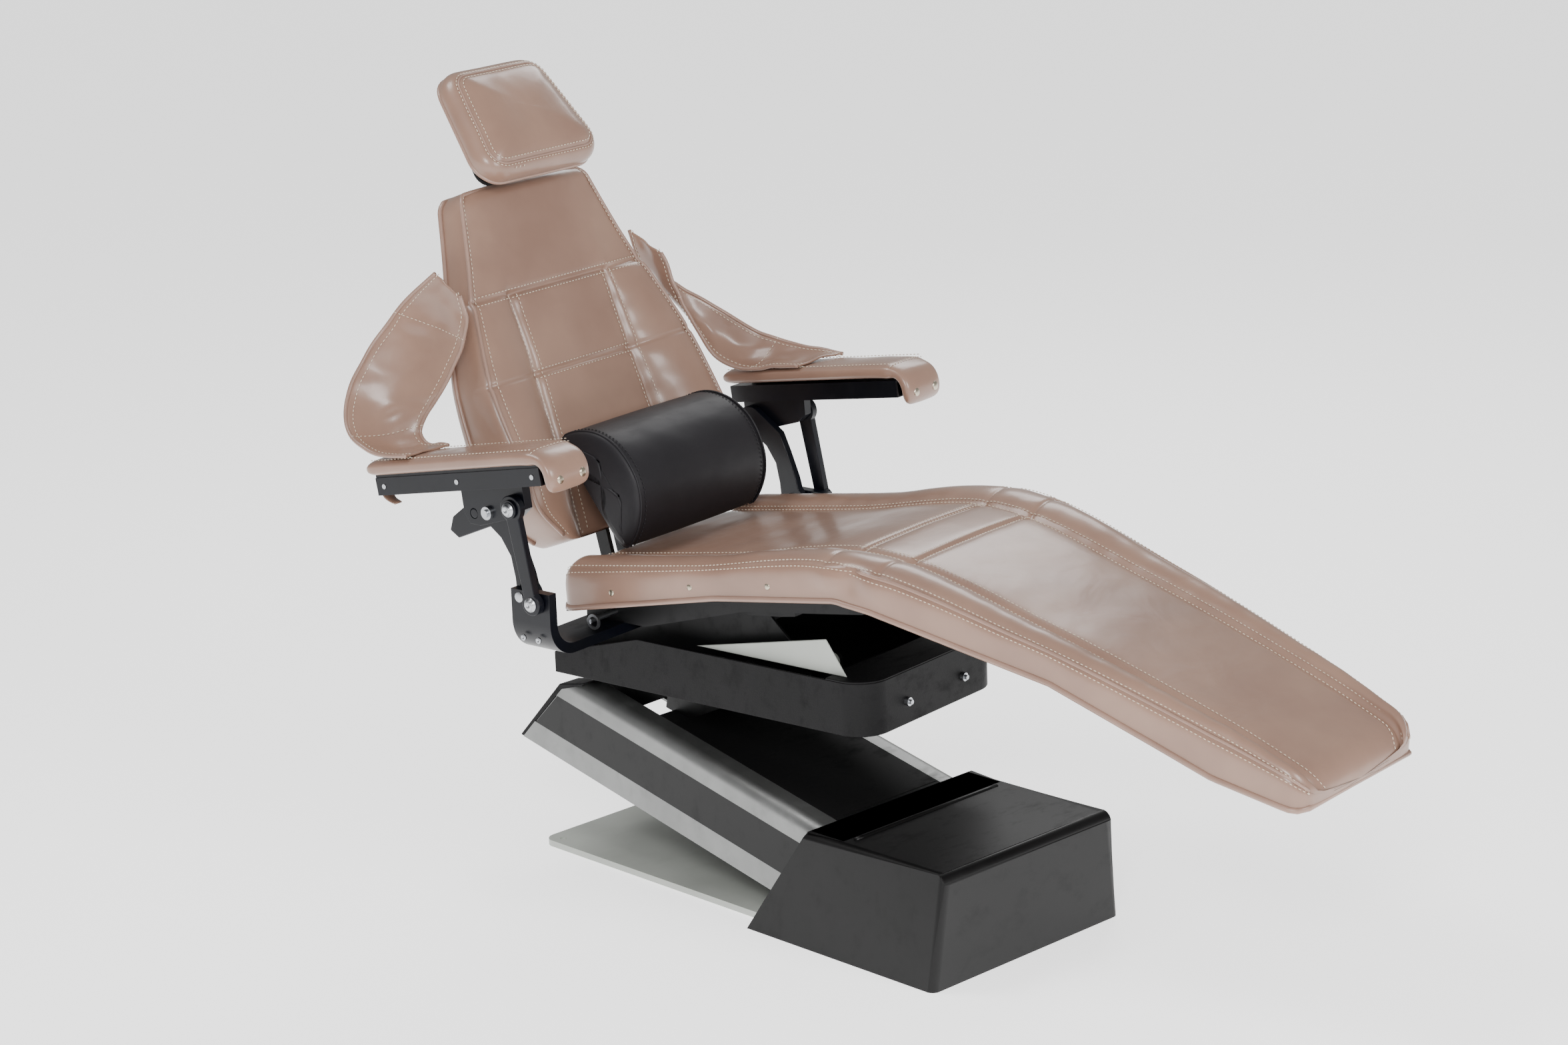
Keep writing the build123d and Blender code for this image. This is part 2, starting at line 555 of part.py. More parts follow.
with BuildPart() as standoff_pins:
    with BuildSketch(Plane.XZ.offset(-PAN_FRONT)):
        with Locations((-STANDOFF_X, STANDOFF_Z), (STANDOFF_X, STANDOFF_Z)):
            Circle(STANDOFF_R)
    extrude(amount=6)
    with BuildSketch(Plane.XZ.offset(-PAN_FRONT + 6)):
        with Locations((-STANDOFF_X, STANDOFF_Z), (STANDOFF_X, STANDOFF_Z)):
            Circle(STANDOFF_R - 3)
    extrude(amount=4)
keep_upper(standoff_pins.part, "standoff_pins")

with BuildPart() as conduit:
    with BuildLine() as hose_line:
        Spline((-135, 60, 330), (-135, -60, 326), (-132, -150, 345), (-132, -230, 372),
               tangents=((0, -1, 0), (0, -0.6, 0.8)))
    with BuildSketch(Plane.XZ.offset(-60)):
        with Locations((-135, 330)):
            Circle(9)
    sweep(path=hose_line.wires()[0])
keep_upper(conduit.part, "conduit")

# ---- Seat structure ----------------------------------------------------------------------------
with BuildPart() as pedestal:
    with BuildSketch(Plane.YZ.offset(112)):
        Polygon((90, PAN_FLOOR_Z + PAN_WALL), (-330, PAN_FLOOR_Z + PAN_WALL), (-330, 380), (-250, 455),
                (-30, 425), (-30, YOKE_BOTTOM - 0.5), (66, YOKE_BOTTOM - 0.5), (90, 372), align=None)
    extrude(amount=5)
    mirror(about=Plane.YZ)
    with BuildSketch(Plane.YZ.offset(-112)):
        with Locations((-312, PAN_FLOOR_Z + PAN_WALL + 20)):
            Rectangle(6, 40)
        with Locations((-240, 440)):
            Rectangle(30, 5)
    extrude(amount=224)
keep_upper(pedestal.part, "pedestal")

with BuildPart() as side_panel:
    with BuildSketch(Plane.YZ.offset(-148)):
        Polygon((-136, 389), (-384, 441), (-421, 389), align=None)
    extrude(amount=3)
keep_upper(side_panel.part, "side_panel")

CROSSBAR_TOP = YOKE_BOTTOM + YOKE_THICK
with BuildPart() as seat_frame:
    with BuildSketch(Plane.YZ.offset(RAIL_X)):
        Polygon((56, CROSSBAR_TOP), (56, 428), (-252, 494), (-474, 526), (-474, 500), (-252, 468),
                (-60, CROSSBAR_TOP), align=None)
    extrude(amount=RAIL_WIDE)
    mirror(about=Plane.YZ)
    with BuildSketch(Plane.YZ.offset(-RAIL_X)):
        Polygon((-300, 462), (-300, 498), (-330, 503), (-330, 467), align=None)
        Polygon((-440, 500), (-440, 520), (-470, 524), (-470, 504), align=None)
    extrude(amount=2 * RAIL_X)
    with BuildSketch(Plane.YZ.offset(112)):
        Polygon((-240, 455), (-250, 480), (-300, 488), (-300, 462), align=None)
    extrude(amount=RAIL_X - 112)
    mirror(about=Plane.YZ)
    with BuildSketch(Plane.YZ.offset(80)):
        Polygon((-470, 502), (-470, 526), (-529, 518), (-812, 452), (-982, 383), (-1054, 353),
                (-1120, 336), (-1120, 316), (-1054, 331), (-982, 361), (-812, 430), (-529, 496), align=None)
    extrude(amount=22)
    mirror(about=Plane.YZ)
    with BuildSketch(Plane.YZ.offset(-80)):
        Polygon((-800, 434), (-800, 452), (-830, 444), (-830, 424), align=None)
        Polygon((-1090, 324), (-1090, 340), (-1115, 334), (-1115, 318), align=None)
    extrude(amount=160)
keep_upper(seat_frame.part, "seat_frame")

SEAT_UNDER = [(-1178, 327), (-1054, 357), (-982, 387), (-812, 456), (-529, 522), (-474, 530),
              (-252, 498), (54, 432)]
with BuildPart() as seat_board:
    with BuildSketch(Plane.YZ):
        Polygon(*SEAT_UNDER, (54, 442), (-252, 508), (-474, 540), (-529, 532), (-812, 466), (-982, 397),
                (-1054, 367), (-1174, 337), align=None)
    extrude(amount=SEAT_HALF_WIDTH - 6, both=True)
    with BuildSketch(Plane.XY.offset(300)):
        Polygon((-SEAT_HALF_WIDTH + 12, SEAT_REAR - 6), (SEAT_HALF_WIDTH - 12, SEAT_REAR - 6),
                (SEAT_HALF_WIDTH - 12, KNEE_Y), (126, TOE_Y + 26), (-126, TOE_Y + 26),
                (-SEAT_HALF_WIDTH + 12, KNEE_Y), align=None)
    extrude(amount=300, mode=Mode.INTERSECT)
keep_upper(seat_board.part, "seat_board")

with BuildPart() as seat_cushion:
    with BuildSketch(Plane.YZ):
        Polygon((54, 443), (-252, 509), (-474, 541), (-529, 533), (-812, 467), (-982, 398), (-1054, 368),
                (-1174, 338), (TOE_Y, 372), (-1055, 426), (-767, 521), (KNEE_Y, 588), (-208, 542),
                (55, 502), align=None)
    extrude(amount=SEAT_HALF_WIDTH, both=True)
    with BuildSketch(Plane.YZ.offset(SEAT_HALF_WIDTH - 78)):
        Polygon((55, 500), (55, 514), (-208, 554), (KNEE_Y, 600), (-767, 533), (-1055, 438),
                (TOE_Y, 382), (TOE_Y, 370), (-1055, 424), (-767, 519), (KNEE_Y, 586), (-208, 540), align=None)
    bolster = extrude(amount=78)
    mirror(bolster, about=Plane.YZ)
    with BuildSketch(Plane.XY.offset(300)):
        Polygon((-SEAT_HALF_WIDTH, SEAT_REAR), (SEAT_HALF_WIDTH, SEAT_REAR), (SEAT_HALF_WIDTH, KNEE_Y),
                (TOE_HALF_WIDTH, TOE_Y), (-TOE_HALF_WIDTH, TOE_Y), (-SEAT_HALF_WIDTH, KNEE_Y), align=None)
    extrude(amount=350, mode=Mode.INTERSECT)
keep_upper(seat_cushion.part, "seat_cushion")

# ---- Yoke --------------------------------------------------------------------------------------
with BuildPart() as yoke:
    with BuildSketch(Plane.XZ.offset(-YOKE_REAR)):
        with Locations((0, (YOKE_BOTTOM + YOKE_TOP) / 2)):
            Rectangle(2 * YOKE_OUTER, YOKE_TOP - YOKE_BOTTOM)
        fillet(vertices().group_by(Axis.Y)[0], YOKE_CORNER)
    extrude(amount=YOKE_REAR - YOKE_FRONT)
    with BuildSketch(Plane.XZ.offset(-YOKE_REAR)):
        with Locations((0, (CROSSBAR_TOP + YOKE_TOP + 20) / 2)):
            Rectangle(2 * (YOKE_OUTER - YOKE_THICK), YOKE_TOP + 20 - CROSSBAR_TOP)
        fillet(vertices().group_by(Axis.Y)[0], YOKE_CORNER - YOKE_THICK)
    extrude(amount=YOKE_REAR - YOKE_FRONT, mode=Mode.SUBTRACT)
    with BuildSketch(Plane.YZ.offset(-YOKE_OUTER - 1)):
        with Locations((RECLINE_Y, RECLINE_Z)):
            Circle(RECLINE_PIN_R)
    extrude(amount=2 * YOKE_OUTER + 2, mode=Mode.SUBTRACT)
    with BuildSketch(Plane.YZ.offset(-YOKE_OUTER - SIDE - ARM_LINK_WALL - 1)):
        with Locations((LINK_LOW_Y, LINK_LOW_Z)):
            Circle(LINK_LOW_PIN_R)
    extrude(amount=SIDE + ARM_LINK_WALL + 1)
    with BuildSketch(Plane.YZ.offset(YOKE_OUTER)):
        with Locations((LINK_LOW_Y, LINK_LOW_Z)):
            Circle(LINK_LOW_PIN_R)
    extrude(amount=SIDE + ARM_LINK_WALL + 1)
keep_upper(yoke.part, "yoke")

with BuildPart() as recline_pins:
    with BuildSketch(Plane.YZ.offset(PLATE_X - 4)):
        with Locations((RECLINE_Y, RECLINE_Z)):
            Circle(RECLINE_PIN_R)
    extrude(amount=YOKE_OUTER - PLATE_X + 4)
    mirror(about=Plane.YZ)
keep_upper(recline_pins.part, "recline_pins")

with BuildPart() as release_ring:
    with BuildSketch(Plane.YZ.offset(-RAIL_X - RAIL_WIDE)):
        with Locations((-2, 429)):
            Circle(5)
    extrude(amount=-60)
    with BuildSketch(Plane.YZ.offset(-RAIL_X - RAIL_WIDE - 62)):
        with Locations((-12, 429)):
            Circle(12)
            Circle(8, mode=Mode.SUBTRACT)
    extrude(amount=3)
keep_upper(release_ring.part, "release_ring")

for side, way in (("right", -1), ("left", 1)):
    with BuildPart() as arm_link:
        with BuildSketch(Plane.YZ.offset(way * (YOKE_OUTER + SIDE))):
            Polygon((LINK_LOW_Y - 11, LINK_LOW_Z), (LINK_LOW_Y + 11, LINK_LOW_Z), (LINK_LOW_Y + 31, 572),
                    (LINK_TOP_Y + 13, LINK_TOP_Z), (LINK_TOP_Y - 13, LINK_TOP_Z), (LINK_LOW_Y + 8, 572),
                    align=None)
            with Locations((LINK_LOW_Y, LINK_LOW_Z)):
                Circle(17)
            with Locations((LINK_TOP_Y, LINK_TOP_Z)):
                Circle(20)
                Circle(PIVOT_PIN_R + OPEN_PIVOT, mode=Mode.SUBTRACT)
            with Locations((LINK_LOW_Y, LINK_LOW_Z)):
                Circle(LINK_LOW_PIN_R + RUN, mode=Mode.SUBTRACT)
        extrude(amount=way * ARM_LINK_WALL)
    keep_upper(arm_link.part, f"arm_link_{side}")

# ---- Back's hinge plates and cross tube ----------------------------------------------------------
TUBE_Y, TUBE_Z = back_point(TUBE_W, TUBE_N)
for side, way in (("right", -1), ("left", 1)):
    with BuildPart() as hinge_plate:
        with BuildSketch(Plane.YZ.offset(way * PLATE_X)):
            Polygon((RECLINE_Y - 20, RECLINE_Z - 4), (RECLINE_Y + 20, RECLINE_Z - 8), (63, 508), (70, 540),
                    (88, 566), (108, 580), (TUBE_Y - 2, TUBE_Z - 17), (TUBE_Y + 15, TUBE_Z - 7),
                    (TUBE_Y + 8, TUBE_Z + 15), (HEAD_Y + 12, HEAD_Z + 20), (HEAD_Y - 12, HEAD_Z + 22),
                    (HEAD_Y - 62, HEAD_Z - 12), (46, 560), (30, 520), align=None)
            with Locations((RECLINE_Y, RECLINE_Z)):
                Circle(22)
            with Locations((HEAD_Y, HEAD_Z)):
                Circle(24)
            with Locations((RECLINE_Y, RECLINE_Z)):
                Circle(RECLINE_PIN_R + RUN, mode=Mode.SUBTRACT)
        extrude(amount=way * PLATE_WALL)
        with BuildSketch(Plane.YZ.offset(way * PLATE_X)):
            with Locations((HEAD_Y, HEAD_Z)):
                Circle(PIVOT_PIN_R)
        extrude(amount=way * (YOKE_OUTER - PLATE_X))
    keep_upper(hinge_plate.part, f"hinge_plate_{side}")


LUG_Y = 130.0
LUG_Z = 391.0
with BuildPart() as back_cross_tube:
    with BuildSketch(Plane.YZ.offset(-PLATE_X)):
        with Locations((TUBE_Y, TUBE_Z)):
            Circle(TUBE_R)
    extrude(amount=2 * PLATE_X)
    with BuildSketch(Plane.YZ.offset(15)):
        Polygon((TUBE_Y - 12, TUBE_Z), (TUBE_Y + 12, TUBE_Z), (LUG_Y + 12, LUG_Z), (LUG_Y - 12, LUG_Z),
                align=None)
        with Locations((LUG_Y, LUG_Z)):
            Circle(12)
    extrude(amount=8)
    mirror(about=Plane.YZ)
    with BuildSketch(Plane.YZ.offset(-16)):
        with Locations((LUG_Y, LUG_Z)):
            Circle(LIFT_PIN_R - 1)
    extrude(amount=32)
keep_upper(back_cross_tube.part, "back_cross_tube")

# ---- Recline cylinder --------------------------------------------------------------------------
RAM_LENGTH = ((LUG_Y - FOOT_Y) ** 2 + (LUG_Z - FOOT_Z) ** 2) ** 0.5
RAM_AXIS = Plane(
    origin=(0, FOOT_Y, FOOT_Z),
    x_dir=(1, 0, 0),
    z_dir=(0, (LUG_Y - FOOT_Y) / RAM_LENGTH, (LUG_Z - FOOT_Z) / RAM_LENGTH),
)
RAM_BARREL = 225.0
with BuildPart() as recline_barrel:
    with BuildSketch(Plane.YZ.offset(-12)):
        with Locations((FOOT_Y, FOOT_Z)):
            Circle(14)
    extrude(amount=24)
    with BuildSketch(RAM_AXIS):
        Circle(14)
    extrude(amount=RAM_BARREL)
    with BuildSketch(RAM_AXIS.offset(24)):
        Circle(7 + RUN)
    extrude(amount=RAM_BARREL, mode=Mode.SUBTRACT)
    with BuildSketch(Plane.YZ.offset(-20)):
        with Locations((FOOT_Y, FOOT_Z)):
            Circle(LIFT_PIN_R - 1 + RUN)
    extrude(amount=40, mode=Mode.SUBTRACT)
keep_upper(recline_barrel.part, "recline_barrel")

with BuildPart() as recline_rod:
    with BuildSketch(RAM_AXIS.offset(160)):
        Circle(7)
    extrude(amount=RAM_LENGTH - 160)
    with BuildSketch(Plane.YZ.offset(-10)):
        with Locations((LUG_Y, LUG_Z)):
            Circle(23)
    extrude(amount=20)
    with BuildSketch(Plane.YZ.offset(-20)):
        with Locations((LUG_Y, LUG_Z)):
            Circle(LIFT_PIN_R - 1 + RECLINE_OPEN)
    extrude(amount=40, mode=Mode.SUBTRACT)
keep_upper(recline_rod.part, "recline_rod")

# ---- Back --------------------------------------------------------------------------------------
with BuildPart() as back_cushion:
    with BuildSketch(BACK_FACE.offset(CUSHION_BACK)):
        Polygon((-165, -8), (165, -8), (BACK_HALF_WIDTH - 4, 60), (BACK_HALF_WIDTH, 190), (224, 300),
                (176, 440), (BACK_TOP_HALF, BACK_LENGTH), (-BACK_TOP_HALF, BACK_LENGTH), (-176, 440),
                (-224, 300), (-BACK_HALF_WIDTH, 190), (-BACK_HALF_WIDTH + 4, 60), align=None)
    extrude(amount=-CUSHION_BACK)
    with BuildSketch(BACK_SIDE.offset(160)):
        Polygon((50, -2), (90, 34), (200, 18), (290, 0), (290, -4), (50, -4), align=None)
    bolster = extrude(amount=BACK_HALF_WIDTH - 166)
    mirror(bolster, about=Plane.YZ)
keep_upper(back_cushion.part, "back_cushion")

SHELL_TOP = BACK_LENGTH - 6
with BuildPart() as back_shell:
    with BuildSketch(BACK_FACE.offset(SHELL_DEPTH)):
        Polygon((-145, -2), (145, -2), (BACK_HALF_WIDTH - 16, 66), (BACK_HALF_WIDTH - 10, 190), (212, 298),
                (164, 436), (BACK_TOP_HALF - 10, SHELL_TOP), (-BACK_TOP_HALF + 10, SHELL_TOP), (-164, 436),
                (-212, 298), (-BACK_HALF_WIDTH + 10, 190), (-BACK_HALF_WIDTH + 16, 66), align=None)
    extrude(amount=CUSHION_BACK - SHELL_DEPTH - 0.3)
    front = back_shell.faces().sort_by(lambda f: BACK_FACE.to_local_coords(f.center()).Z)[-1]
    offset(amount=-SHELL_WALL, openings=front)
    with BuildSketch(BACK_SIDE.offset(-PLATE_X)):
        with Locations((TUBE_W, TUBE_N)):
            Circle(TUBE_R + 0.5)
    extrude(amount=2 * PLATE_X, mode=Mode.SUBTRACT)
    with BuildSketch(BACK_FACE.offset(POST_N - POST_THICK / 2 - 0.5)):
        with Locations((0, SHELL_TOP)):
            Rectangle(POST_WIDE + 1, 30)
    extrude(amount=POST_THICK + 1, mode=Mode.SUBTRACT)
    with BuildSketch(BACK_FACE.offset(SHELL_DEPTH + SHELL_WALL)):
        Rectangle(54, 24)
    extrude(amount=CUSHION_BACK - SHELL_DEPTH - SHELL_WALL - 0.3, mode=Mode.SUBTRACT)
keep_upper(back_shell.part, "back_shell")

with BuildPart() as back_frame:
    with BuildSketch(BACK_FACE.offset(SHELL_DEPTH + SHELL_WALL)):
        with Locations((-100, 252), (100, 252)):
            Rectangle(24, 470)
        with Locations((0, 200), (0, 330)):
            Rectangle(200, 24)
    extrude(amount=16)
    with BuildSketch(BACK_SIDE.offset(-PLATE_X)):
        with Locations((TUBE_W, TUBE_N)):
            Circle(TUBE_R)
    extrude(amount=2 * PLATE_X, mode=Mode.SUBTRACT)
    with BuildSketch(BACK_FACE.offset(POST_N - POST_THICK / 2 - 6)):
        with Locations((0, 420)):
            Rectangle(POST_WIDE + 14, 200)
    extrude(amount=POST_THICK + 12)
    with BuildSketch(BACK_FACE.offset(POST_N - POST_THICK / 2 - RUN)):
        with Locations((0, 420)):
            Rectangle(POST_WIDE + 2 * RUN, 220)
    extrude(amount=POST_THICK + 2 * RUN, mode=Mode.SUBTRACT)
    with BuildSketch(BACK_FACE.offset(SHELL_DEPTH + SHELL_WALL)):
        with Locations((-68, 420), (68, 420)):
            Rectangle(64, 24)
    extrude(amount=16)
keep_upper(back_frame.part, "back_frame")

# ---- Headrest ----------------------------------------------------------------------------------
HINGE_W = POST_TOP
with BuildPart() as headrest_post:
    with BuildSketch(BACK_FACE.offset(POST_N - POST_THICK / 2)):
        with Locations((0, (HINGE_W + 335) / 2)):
            Rectangle(POST_WIDE, HINGE_W - 335)
    extrude(amount=POST_THICK)
    with BuildSketch(BACK_SIDE.offset(-POST_WIDE / 2)):
        with Locations((HINGE_W, POST_N)):
            Circle(9)
    extrude(amount=POST_WIDE)
    with BuildSketch(BACK_SIDE.offset(-POST_WIDE / 2)):
        with Locations((HINGE_W, POST_N)):
            Circle(HEAD_PIN_R + RUN)
    extrude(amount=POST_WIDE, mode=Mode.SUBTRACT)
keep_upper(headrest_post.part, "headrest_post")

with BuildPart() as headrest_hinge_pin:
    with BuildSketch(BACK_SIDE.offset(-POST_WIDE / 2 - 8)):
        with Locations((HINGE_W, POST_N)):
            Circle(HEAD_PIN_R)
    extrude(amount=POST_WIDE + 16)
keep_upper(headrest_hinge_pin.part, "headrest_hinge_pin")

HINGE_Y, HINGE_Z = back_point(HINGE_W, POST_N)
HEAD_SIDE = Plane(
    origin=(0, HEAD_FOOT_Y, HEAD_FOOT_Z),
    x_dir=(0, sin(radians(HEAD_LEAN)), cos(radians(HEAD_LEAN))),
    z_dir=(1, 0, 0),
)
HINGE_AT = HEAD_SIDE.to_local_coords(Vector(0, HINGE_Y, HINGE_Z))
with BuildPart() as headrest_bracket:
    with BuildSketch(HEAD_SIDE.offset(POST_WIDE / 2 + 0.5)):
        with Locations(HINGE_AT):
            Circle(11)
        Polygon((HINGE_AT.X - 11, HINGE_AT.Y), (HINGE_AT.X + 11, HINGE_AT.Y),
                (HINGE_AT.X + 34, -HEAD_THICK - 10), (HINGE_AT.X - 34, -HEAD_THICK - 10), align=None)
        with Locations(HINGE_AT):
            Circle(HEAD_PIN_R, mode=Mode.SUBTRACT)
    extrude(amount=6)
    mirror(about=Plane.YZ)
    with BuildSketch(HEAD_SIDE.offset(-POST_WIDE / 2 - 6.5)):
        with Locations((HINGE_AT.X, -HEAD_THICK - 8)):
            Rectangle(110, 4)
    extrude(amount=POST_WIDE + 13)
keep_upper(headrest_bracket.part, "headrest_bracket")

with BuildPart() as headrest_shell:
    with BuildSketch(HEAD_FACE.offset(-HEAD_THICK - 6)):
        Polygon((-HEAD_LOW_HALF + 12, 6), (HEAD_LOW_HALF - 12, 6), (HEAD_TOP_HALF - 12, HEAD_HEIGHT - 6),
                (-HEAD_TOP_HALF + 12, HEAD_HEIGHT - 6), align=None)
        fillet(vertices(), 20)
    extrude(amount=5.7)
keep_upper(headrest_shell.part, "headrest_shell")

with BuildPart() as headrest_pad:
    with BuildSketch(HEAD_FACE.offset(-HEAD_THICK)):
        Polygon((-HEAD_LOW_HALF, 0), (HEAD_LOW_HALF, 0), (HEAD_TOP_HALF, HEAD_HEIGHT),
                (-HEAD_TOP_HALF, HEAD_HEIGHT), align=None)
        fillet(vertices(), 26)
    extrude(amount=HEAD_THICK)
keep_upper(headrest_pad.part, "headrest_pad")

# ---- Lumbar roll -------------------------------------------------------------------------------
ROLL_SIDE = Plane(
    origin=(0, ROLL_CENTRE_Y, ROLL_CENTRE_Z),
    x_dir=(0, cos(radians(ROLL_TILT)), sin(radians(ROLL_TILT))),
    z_dir=(1, 0, 0),
)
with BuildPart() as lumbar_roll:
    with BuildSketch(ROLL_SIDE):
        Circle(ROLL_R)
        with Locations((0, -ROLL_R)):
            Rectangle(2 * ROLL_R + 2, 2 * ROLL_R, mode=Mode.SUBTRACT)
    extrude(amount=ROLL_HALF_LENGTH, both=True)
keep_upper(lumbar_roll.part, "lumbar_roll")

# ==== Armrests ====================================================================================
for side, way, seat in (("right", -1, RIGHT_RAIL), ("left", 1, LEFT_RAIL)):
    slope = radians(seat["slope"])
    rail_line = Plane(
        origin=(0, seat["middle_y"], seat["middle_z"]),
        x_dir=(0, cos(slope), sin(slope)),
        z_dir=(1, 0, 0),
    )
    head_at = rail_line.to_local_coords(Vector(0, HEAD_Y, HEAD_Z))
    top_at = rail_line.to_local_coords(Vector(0, LINK_TOP_Y, LINK_TOP_Z))
    with BuildPart() as rail:
        with BuildSketch(rail_line.offset(way * RAIL_INNER)):
            Rectangle(RAIL_LENGTH, RAIL_HEIGHT)
        extrude(amount=way * (RAIL_OUTER - RAIL_INNER))
        with BuildSketch(rail_line.offset(way * (RAIL_INNER + 4))):
            with Locations((0, -1)):
                Rectangle(RAIL_LENGTH + 2, RAIL_HEIGHT - 6)
        extrude(amount=way * (RAIL_OUTER - RAIL_INNER - 8), mode=Mode.SUBTRACT)
        with BuildSketch(rail_line.offset(way * (RAIL_OUTER - 6))):
            with Locations((0, RAIL_HEIGHT / 2 + RAIL_LIP / 2)):
                Rectangle(RAIL_LENGTH, RAIL_LIP)
        extrude(amount=way * 4)
        with BuildSketch(rail_line.offset(way * (RAIL_OUTER - 4))):
            with Locations((-154, 0), (0, 0), (154, 0)):
                Circle(4)
        extrude(amount=way * 4, mode=Mode.SUBTRACT)
    keep_upper(rail.part, f"rail_{side}")

    with BuildPart() as rail_screws:
        with BuildSketch(rail_line.offset(way * (RAIL_OUTER - 4))):
            with Locations((-154, 0), (0, 0), (154, 0)):
                Circle(3.8)
        extrude(amount=way * 5)
    keep_upper(rail_screws.part, f"rail_screws_{side}")

    with BuildPart() as bracket:
        with BuildSketch(rail_line.offset(way * (YOKE_OUTER - YOKE_THICK))):
            Polygon((head_at.X + 18, -RAIL_HEIGHT / 2), (top_at.X - 20, -RAIL_HEIGHT / 2),
                    (top_at.X - 18, top_at.Y - 4), (top_at.X, top_at.Y - 16), (head_at.X - 8, head_at.Y - 19),
                    (head_at.X + 12, head_at.Y - 15), (head_at.X + 20, head_at.Y + 2), align=None)
            with Locations(head_at):
                Circle(PIVOT_PIN_R + RUN, mode=Mode.SUBTRACT)
        extrude(amount=way * YOKE_THICK)
        with BuildSketch(rail_line.offset(way * YOKE_OUTER)):
            with Locations(top_at):
                Circle(PIVOT_PIN_R)
        extrude(amount=way * (SIDE + ARM_LINK_WALL + 1))
        with BuildSketch(rail_line.offset(way * (YOKE_OUTER + SIDE + ARM_LINK_WALL + 1))):
            with Locations(top_at):
                Circle(14)
        extrude(amount=way * 3)
    keep_upper(bracket.part, f"bracket_{side}")

    with BuildPart() as latch_pin:
        with BuildSketch(rail_line.offset(way * YOKE_OUTER)):
            with Locations(((head_at.X + top_at.X) / 2 + 14, top_at.Y - 6)):
                Circle(10)
        extrude(amount=way * 6)
        with BuildSketch(rail_line.offset(way * (YOKE_OUTER + 6))):
            with Locations(((head_at.X + top_at.X) / 2 + 14, top_at.Y - 6)):
                Circle(6)
        extrude(amount=way * 4)
    keep_upper(latch_pin.part, f"latch_pin_{side}")

    with BuildPart() as arm_pad:
        with BuildSketch(rail_line.offset(way * (RAIL_INNER - PAD_OVERHANG))):
            with Locations((-12, RAIL_HEIGHT / 2 + RAIL_LIP + PAD_THICK / 2 + 0.3)):
                RectangleRounded(RAIL_LENGTH + 56, PAD_THICK, 8)
        extrude(amount=way * (RAIL_OUTER - RAIL_INNER + 2 * PAD_OVERHANG))
    keep_upper(arm_pad.part, f"arm_pad_{side}")

    rear = rail_line.from_local_coords(Vector(RAIL_LENGTH / 2 + 24, RAIL_HEIGHT / 2 + 12, 0))
    with BuildPart() as arm_sling:
        with BuildSketch(Plane.YZ.offset(way * (BACK_HALF_WIDTH + 6))):
            with BuildLine():
                face = [(rear.Y + y, rear.Z + z) for y, z in seat["sling"]]
                outer = Spline(*face)
                inner = Spline(*[(y - 4, z + 1) for y, z in reversed(face)])
                Line(outer @ 1, inner @ 0)
                Line(inner @ 1, outer @ 0)
            make_face()
        extrude(amount=way * (RAIL_OUTER + 12 - BACK_HALF_WIDTH))
    keep_upper(arm_sling.part, f"arm_sling_{side}")
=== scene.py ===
"""Visual model of a dental patient chair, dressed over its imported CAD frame."""

import json
import logging
from dataclasses import dataclass, field
from enum import Enum
from math import cos, pi, radians, sin, sqrt
from typing import Sequence

import bmesh
import bpy
import numpy as np
from mathutils import Matrix, Vector, noise


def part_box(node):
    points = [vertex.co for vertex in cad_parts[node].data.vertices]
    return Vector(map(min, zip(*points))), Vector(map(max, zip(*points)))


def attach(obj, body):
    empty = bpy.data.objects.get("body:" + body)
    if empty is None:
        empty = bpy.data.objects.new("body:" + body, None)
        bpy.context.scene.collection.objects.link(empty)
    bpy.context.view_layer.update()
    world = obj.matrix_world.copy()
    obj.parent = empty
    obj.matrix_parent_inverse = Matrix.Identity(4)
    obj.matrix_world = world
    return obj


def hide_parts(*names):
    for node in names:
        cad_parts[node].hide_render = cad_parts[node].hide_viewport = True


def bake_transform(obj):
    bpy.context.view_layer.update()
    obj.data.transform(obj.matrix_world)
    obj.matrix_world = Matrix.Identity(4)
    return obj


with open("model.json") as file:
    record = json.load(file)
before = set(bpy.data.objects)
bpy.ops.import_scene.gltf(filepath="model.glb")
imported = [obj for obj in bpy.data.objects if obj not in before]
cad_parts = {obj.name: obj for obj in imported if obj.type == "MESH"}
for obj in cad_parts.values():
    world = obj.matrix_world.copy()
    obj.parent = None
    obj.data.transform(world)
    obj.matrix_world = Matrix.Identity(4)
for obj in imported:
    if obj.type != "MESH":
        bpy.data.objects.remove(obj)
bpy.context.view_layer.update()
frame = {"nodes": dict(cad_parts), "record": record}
LOG = logging.getLogger("dental_chair")

Point = tuple[float, float, float]
MM = 0.001

# ---- Layout, in millimetres and degrees, as in the CAD ------------------------------------------
SWIVEL_Y = 250.0
SWIVEL_TURN = 7.2
ARM_RISE = 12.0
ARM_PIVOT = (0.0, -275.0, 99.0)
BACK_LEAN = 21.0
BACK_FOOT = (0.0, 95.0, 530.0)
HEAD_LEAN = 39.3
HEAD_FOOT = (0.0, 232.0, 1073.0)
SEAT_REAR = 55.0
TOE = -1190.0

# ---- Tolerances for cleaning meshes, in metres and degrees --------------------------------------
WELD = 0.00001
CAD_WELD = 0.00003
FLAT_TURN = 1.5
SHADED_SHARP = 35.0


class Side(Enum):
    """Which armrest, seen by the patient: its sign along X."""

    RIGHT = -1
    LEFT = 1

    @property
    def word(self) -> str:
        """The side's name as the CAD nodes spell it."""
        return self.name.lower()


